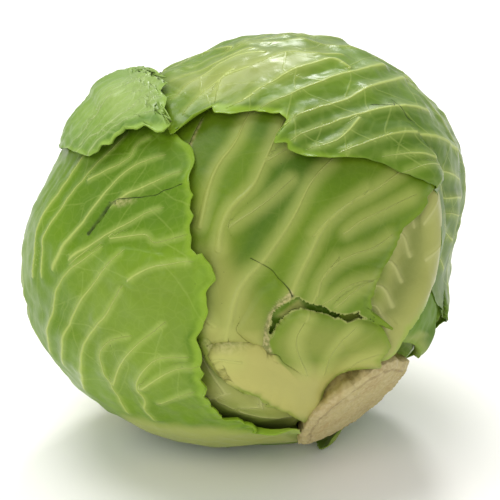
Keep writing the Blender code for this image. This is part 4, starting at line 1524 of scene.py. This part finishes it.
def leaf_skin_group(lines, net):
    """The colour, roughness and height of a leaf's skin, from its own greens, with painted shade
    in cracks and creases and painted light at the margins.
    """
    tree, given, wanted = new_group(
        "leaf skin",
        {
            "Green": (0.2, 0.33, 0.04, 1), "Second Green": (0.24, 0.38, 0.06, 1),
            "Deep": (0.08, 0.18, 0.01, 1), "Pale": (0.5, 0.55, 0.25, 1),
            "Vein": (0.5, 0.6, 0.25, 1), "Edge": (0.3, 0.45, 0.06, 1),
            "Vein Strength": 0.6, "Thin Strength": 0.4, "Net Strength": 0.2, "Halo Strength": 0.2,
            "Halo Width": HALO_WIDTH, "Net Cells": NET_CELLS,
            "Least Roughness": 0.3, "Most Roughness": 0.45,
        },
        {"Color": "NodeSocketColor", "Roughness": "NodeSocketFloat", "Height": "NodeSocketFloat"},
    )
    masks = tree.add("ShaderNodeGroup", {"node_tree": lines}, Halo_Width=given["Halo Width"])
    masks = masks.outputs
    web = tree.add("ShaderNodeGroup", {"node_tree": net}, Cells_Per_Metre=given["Net Cells"])
    patches = tree.fade(tree.noise(38.0, 4.0), 0.35, 0.68)
    colour = tree.mix(patches, given["Green"], given["Second Green"])
    mottle = tree.fade(tree.noise(420.0, 3.0), 0.3, 0.75, 0.0, 0.14)
    colour = tree.mix(mottle, colour, given["Deep"])
    colour = tree.mix(tree.mark("pale"), colour, given["Pale"])
    # Darker green patches of the leaf, and painted shade in creases, hollows and under margins
    colour = tree.mix(tree.mark("deep"), colour, given["Deep"])
    halo = tree.maths("MULTIPLY", masks["Halo"], given["Halo Strength"])
    colour = tree.mix(halo, colour, given["Vein"])
    # Painted light: towards their margins the leaves take the edge colour, as light coming through
    # the thin edges makes them lighter
    edge_glow = tree.fade(tree.mark("edge"), 0.3, 3.0, 0.55, 0.0)
    colour = tree.mix(edge_glow, colour, given["Edge"])
    for mask, strength in (
        (web.outputs["Net"], given["Net Strength"]), (masks["Thin"], given["Thin Strength"]),
        (masks["Main"], given["Vein Strength"]),
    ):
        colour = tree.mix(tree.maths("MULTIPLY", mask, strength), colour, given["Vein"])
    # Painted light along the margins and rims that the lime paint covers, in the edge colour
    colour = tree.mix(tree.mark("lime"), colour, given["Edge"])
    fibres = tree.fade(tree.noise(800.0, 4.0), 0.35, 0.65)
    torn = tree.mix(fibres, (0.20, 0.21, 0.06, 1), (0.46, 0.41, 0.18, 1))
    colour = tree.mix(tree.mark("torn"), colour, torn)
    specks = tree.fade(tree.noise(900.0, 1.0), 0.78, 0.83, 0.0, 0.5)
    colour = tree.mix(specks, colour, (0.05, 0.06, 0.01, 1))
    colour = tree.mix(masks["Torn"], colour, (0.30, 0.34, 0.09, 1))
    # Painted shade inside the cracks, broken up by noise
    crack_shade = tree.fade(tree.noise(220.0, 2.0), 0.38, 0.6, 0.45, 0.95)
    crack_shade = tree.maths("MULTIPLY", masks["Crack"], crack_shade)
    colour = tree.mix(crack_shade, colour, (0.035, 0.06, 0.006, 1))
    tree.join(colour, wanted["Color"])
    least, most = given["Least Roughness"], given["Most Roughness"]
    rough = tree.fade(tree.noise(60.0, 3.0), 0.3, 0.7, least, most)
    rough = tree.maths("MULTIPLY_ADD", tree.mark("deep"), 0.15, rough)
    tree.join(rough, wanted["Roughness"])
    height = tree.maths("MULTIPLY", masks["Main"], 0.5)
    thin = tree.maths("MULTIPLY", masks["Thin"], given["Thin Strength"])
    for value, share in (
        (thin, 0.5), (tree.noise(700.0, 4.0), 0.14), (tree.noise(150.0, 3.0), 0.35),
        (masks["Halo"], 0.4), (masks["Crack"], -0.8),
    ):
        height = tree.maths("MULTIPLY_ADD", value, share, height)
    tree.join(height, wanted["Height"])
    return tree.tree


def colour_of(value):
    return (*value[:3], 1.0)


def new_material(name):
    """A material with its tree and the inputs of its shader."""
    material = bpy.data.materials.new(name)
    material.use_nodes = True
    tree = Tree(material.node_tree)
    return material, tree, material.node_tree.nodes["Principled BSDF"].inputs


def skin_material(name, green, second, deep, pale, vein, edge, strengths, halo_width=HALO_WIDTH,
                  net_cells=NET_CELLS, gloss=0.2, roughness=(0.3, 0.45)):
    """A waxy leaf, whose colour, roughness and height come from the leaf skin. Strengths are
    those of the main veins, the thin veins, the net and the halo along the main veins."""
    skin = bpy.data.node_groups.get("leaf skin")
    if skin is None:
        skin = leaf_skin_group(vein_lines_group(), net_veins_group())
    material, tree, shader = new_material(name)
    labels = ("Green", "Second_Green", "Deep", "Pale", "Vein", "Edge")
    colours = (green, second, deep, pale, vein, edge)
    given = {label: colour_of(colour) for label, colour in zip(labels, colours)}
    for key, strength in zip(("Vein", "Thin", "Net", "Halo"), strengths):
        given[key + "_Strength"] = strength
    group = tree.add(
        "ShaderNodeGroup", {"node_tree": skin}, Halo_Width=halo_width, Net_Cells=net_cells,
        Least_Roughness=roughness[0], Most_Roughness=roughness[1], **given,
    ).outputs
    bump = tree.add("ShaderNodeBump", Height=group["Height"], Strength=0.8, Distance=LEAF_BUMP)
    tree.join(group["Color"], shader["Base Color"])
    tree.join(group["Roughness"], shader["Roughness"])
    tree.join(bump.outputs[0], shader["Normal"])
    shader["Specular IOR Level"].default_value = gloss
    return material


def stalk_material():
    """Dried cut stalk: pale tan fibres, amber leaf bases round the side and a darker ring."""
    material, tree, shader = new_material("cut stalk")
    patches = tree.fade(tree.noise(90.0, 5.0), 0.35, 0.7)
    colour = tree.mix(patches, (0.45, 0.38, 0.17, 1), (0.40, 0.31, 0.13, 1))
    fibres = tree.fade(tree.noise(700.0, 4.0), 0.4, 0.7, 0.0, 0.5)
    colour = tree.mix(fibres, colour, (0.56, 0.49, 0.27, 1))
    ring = tree.maths("ABSOLUTE", tree.maths("SUBTRACT", tree.mark("share"), 0.84))
    colour = tree.mix(tree.fade(ring, 0.0, 0.03, 0.5, 0.0), colour, (0.25, 0.19, 0.08, 1))
    amber = tree.fade(tree.noise(160.0, 3.0), 0.35, 0.65)
    amber = tree.mix(amber, (0.40, 0.33, 0.10, 1), (0.32, 0.24, 0.06, 1))
    colour = tree.mix(tree.mark("stain"), colour, amber)
    pits = tree.fade(tree.noise(1300.0, 2.0), 0.68, 0.76, 0.0, 0.5)
    colour = tree.mix(pits, colour, (0.2, 0.15, 0.06, 1))
    height = tree.maths("MULTIPLY_ADD", tree.noise(900.0, 5.0), 0.7, tree.noise(260.0, 4.0))
    bump = tree.add("ShaderNodeBump", Height=height, Strength=0.7, Distance=STALK_BUMP)
    tree.join(colour, shader["Base Color"])
    tree.join(bump.outputs[0], shader["Normal"])
    tree.join(tree.fade(tree.noise(200.0, 2.0), 0.3, 0.7, 0.6, 0.8), shader["Roughness"])
    return material


def colour_property(name, description, default):
    return bpy.props.FloatVectorProperty(
        name=name, description=description, default=default, size=3, min=0, max=1, subtype="COLOR"
    )


class CabbageColours(bpy.types.PropertyGroup):
    green: colour_property("Green", "Main green of the outer leaves", (0.120, 0.222, 0.006))
    second_green: colour_property("Second green", "Yellower patches", (0.150, 0.265, 0.008))
    # The darkest green is also the colour of painted shade, where the darkening mark says so
    deep_green: colour_property("Deep green", "Darkest patches", (0.088, 0.178, 0.005))
    pale: colour_property("Pale", "Ribs and leaf bases", (0.42, 0.44, 0.12))
    vein: colour_property("Veins", "Lines of the veins", (0.44, 0.52, 0.13))
    edge: colour_property("Edge", "Thin edges that light comes through", (0.24, 0.38, 0.022))


class CabbageStage(bpy.types.PropertyGroup):
    floor: colour_property("Floor", "Colour of the studio floor", (0.93, 0.92, 0.885))
    key_strength: bpy.props.FloatProperty(
        name="Key light", description="Strength of the light above", default=1.75, min=0
    )
    back_strength: bpy.props.FloatProperty(
        name="Back light", description="Strength of the light behind", default=1.1, min=0
    )
    fill_strength: bpy.props.FloatProperty(
        name="Fill light", description="Strength of the light in front", default=0.95, min=0
    )
    sky_strength: bpy.props.FloatProperty(
        name="Sky", description="Strength of the even light all round", default=0.58, min=0
    )


class CABBAGE_OT_inner_head(bpy.types.Operator):
    """Make the tight inner head"""

    bl_idname = "cabbage.inner_head"
    bl_label = "Inner Head"

    def execute(self, context):
        c = context.scene.cabbage_colours
        make_inner_head(skin_material(
            "inner leaves", c.second_green, c.green, c.deep_green, c.pale, c.vein, c.second_green,
            (0.4, 0.3, 0.15, 0.1),
        ))
        return {"FINISHED"}


class CABBAGE_OT_stalk(bpy.types.Operator):
    """Make the cut stalk"""

    bl_idname = "cabbage.stalk"
    bl_label = "Stalk"

    def execute(self, context):
        make_stalk(stalk_material())
        return {"FINISHED"}


class CABBAGE_OT_pale_leaves(bpy.types.Operator):
    """Make the smooth, paler leaves of the front"""

    bl_idname = "cabbage.pale_leaves"
    bl_label = "Pale Leaves"

    def execute(self, context):
        c = context.scene.cabbage_colours
        centre = skin_material(
            "centre leaf", (0.110, 0.190, 0.006), (0.132, 0.212, 0.009), (0.044, 0.106, 0.002),
            (0.42, 0.40, 0.115), (0.42, 0.45, 0.12), (0.16, 0.25, 0.012),
            (0.3, 0.04, 0.02, 0.48), halo_width=6.0,
        )
        cream = skin_material(
            "cream leaf", (0.17, 0.225, 0.025), (0.21, 0.26, 0.035), (0.11, 0.15, 0.025),
            (0.33, 0.345, 0.095), (0.47, 0.48, 0.18), c.edge,
            (0.5, 0.05, 0.03, 0.3), halo_width=3.5,
        )
        make_leaf("leaf_lower_inner", cream)
        make_leaf("leaf_right_inner", cream)
        make_leaf("leaf_centre", centre)
        return {"FINISHED"}


class CABBAGE_OT_green_leaves(bpy.types.Operator):
    """Make the green wrapper leaves"""

    bl_idname = "cabbage.green_leaves"
    bl_label = "Green Leaves"

    def execute(self, context):
        c = context.scene.cabbage_colours
        green = skin_material(
            "wrapper leaf", c.green, c.second_green, c.deep_green, c.pale, c.vein, c.edge,
            (0.65, 0.12, 0.05, 0.35), halo_width=2.6,
        )
        netted = skin_material(
            "netted leaf", (0.100, 0.185, 0.006), (0.135, 0.235, 0.010), (0.066, 0.135, 0.004),
            c.pale, c.vein, c.edge, (0.7, 0.2, 0.06, 0.3), halo_width=3.0, net_cells=110.0,
            gloss=0.3, roughness=(0.27, 0.42),
        )
        light = skin_material(
            "crumpled leaf", (0.17, 0.29, 0.035), (0.24, 0.37, 0.07), (0.09, 0.19, 0.012),
            (0.38, 0.46, 0.16), (0.44, 0.54, 0.22), (0.28, 0.43, 0.06),
            (0.6, 0.25, 0.1, 0.15), gloss=0.32,
        )
        # A darker copy of the wrapper leaf for the leaves in shade at the right back and under the
        # stalk: painted shade
        dark = skin_material(
            "dark leaf", (0.070, 0.150, 0.003), (0.095, 0.19, 0.005), (0.045, 0.10, 0.002),
            (0.30, 0.35, 0.09), (0.20, 0.31, 0.04), (0.14, 0.26, 0.012),
            (0.5, 0.3, 0.05, 0.1), gloss=0.1, roughness=(0.45, 0.6),
        )
        for name, material in (
            ("leaf_back", dark), ("leaf_left", green), ("leaf_top", netted),
            ("leaf_top_left", light), ("leaf_stub", dark),
        ):
            make_leaf(name, material)
        return {"FINISHED"}


# The lights: name, direction of the source, and its width in degrees
LIGHTS = (
    ("key", (-0.22, 0.18, 0.96), 36),
    ("back light", (0.08, 0.72, 0.68), 12),
    ("fill", (-0.28, -0.85, 0.52), 50),
)


def add_sun(name, source, strength, width_deg):
    """A soft light from far off, in the direction of its source."""
    bpy.ops.object.light_add(type="SUN")
    light = bpy.context.active_object
    light.name = name
    light.data.energy = strength
    light.data.angle = math.radians(width_deg)
    light.rotation_euler = Vector(source).to_track_quat("Z", "Y").to_euler()


def add_camera():
    """The camera, as in the front view: level, and looking down on the head."""
    aim = HEAD_CENTRE + RIGHT * AIM_RIGHT - UP * AIM_DOWN
    bpy.ops.object.camera_add()
    camera = bpy.context.active_object
    turned = Matrix([(*RIGHT, 0), (*UP, 0), (*TOWARDS, 0), (0, 0, 0, 1)]).transposed()
    turned.translation = Vector(aim + TOWARDS * VIEW_DISTANCE)
    camera.matrix_world = turned
    camera.data.lens = LENS
    camera.data.sensor_width = SENSOR_WIDTH
    camera.data.clip_start = 10 * MM
    bpy.context.scene.camera = camera


class CABBAGE_OT_stage(bpy.types.Operator):
    """Make the pale floor, the soft lights and the camera"""

    bl_idname = "cabbage.stage"
    bl_label = "Stage"

    def execute(self, context):
        stage = context.scene.cabbage_stage
        bpy.ops.mesh.primitive_plane_add(size=FLOOR_SIDE)
        floor = bpy.context.active_object
        floor.name = "studio_floor"
        material, _, shader = new_material("studio floor")
        shader["Base Color"].default_value = colour_of(stage.floor)
        shader["Roughness"].default_value = 0.9
        floor.data.materials.append(material)
        strengths = (stage.key_strength, stage.back_strength, stage.fill_strength)
        for (name, source, width_deg), strength in zip(LIGHTS, strengths):
            add_sun(name, source, strength, width_deg)
        world = bpy.data.worlds.new("studio")
        world.use_nodes = True
        background = world.node_tree.nodes["Background"].inputs
        background["Color"].default_value = (1, 1, 1, 1)
        background["Strength"].default_value = stage.sky_strength
        context.scene.world = world
        context.scene.view_settings.view_transform = "Standard"
        add_camera()
        return {"FINISHED"}


OPERATORS = (
    CABBAGE_OT_inner_head, CABBAGE_OT_stalk, CABBAGE_OT_pale_leaves, CABBAGE_OT_green_leaves,
    CABBAGE_OT_stage,
)


class CABBAGE_PT_panel(bpy.types.Panel):
    """The pieces of the cabbage head, in the order they are made"""

    bl_label = "Cabbage Head"
    bl_idname = "CABBAGE_PT_panel"
    bl_space_type = "VIEW_3D"
    bl_region_type = "UI"
    bl_category = "Cabbage"

    def draw(self, context):
        for name in ("cabbage_colours", "cabbage_stage"):
            settings = getattr(context.scene, name)
            box = self.layout.box()
            for key in settings.bl_rna.properties.keys():
                if key not in ("rna_type", "name"):
                    box.prop(settings, key)
        for operator in OPERATORS:
            self.layout.operator(operator.bl_idname)


CLASSES = (CabbageColours, CabbageStage, *OPERATORS, CABBAGE_PT_panel)


def register():
    for made in CLASSES:
        bpy.utils.register_class(made)
    bpy.types.Scene.cabbage_colours = bpy.props.PointerProperty(type=CabbageColours)
    bpy.types.Scene.cabbage_stage = bpy.props.PointerProperty(type=CabbageStage)


def unregister():
    del bpy.types.Scene.cabbage_stage
    del bpy.types.Scene.cabbage_colours
    for made in reversed(CLASSES):
        bpy.utils.unregister_class(made)


def main():
    register()
    bpy.ops.cabbage.inner_head()
    bpy.ops.cabbage.stalk()
    bpy.ops.cabbage.pale_leaves()
    bpy.ops.cabbage.green_leaves()
    bpy.ops.cabbage.stage()


if __name__ == "__main__":
    main()
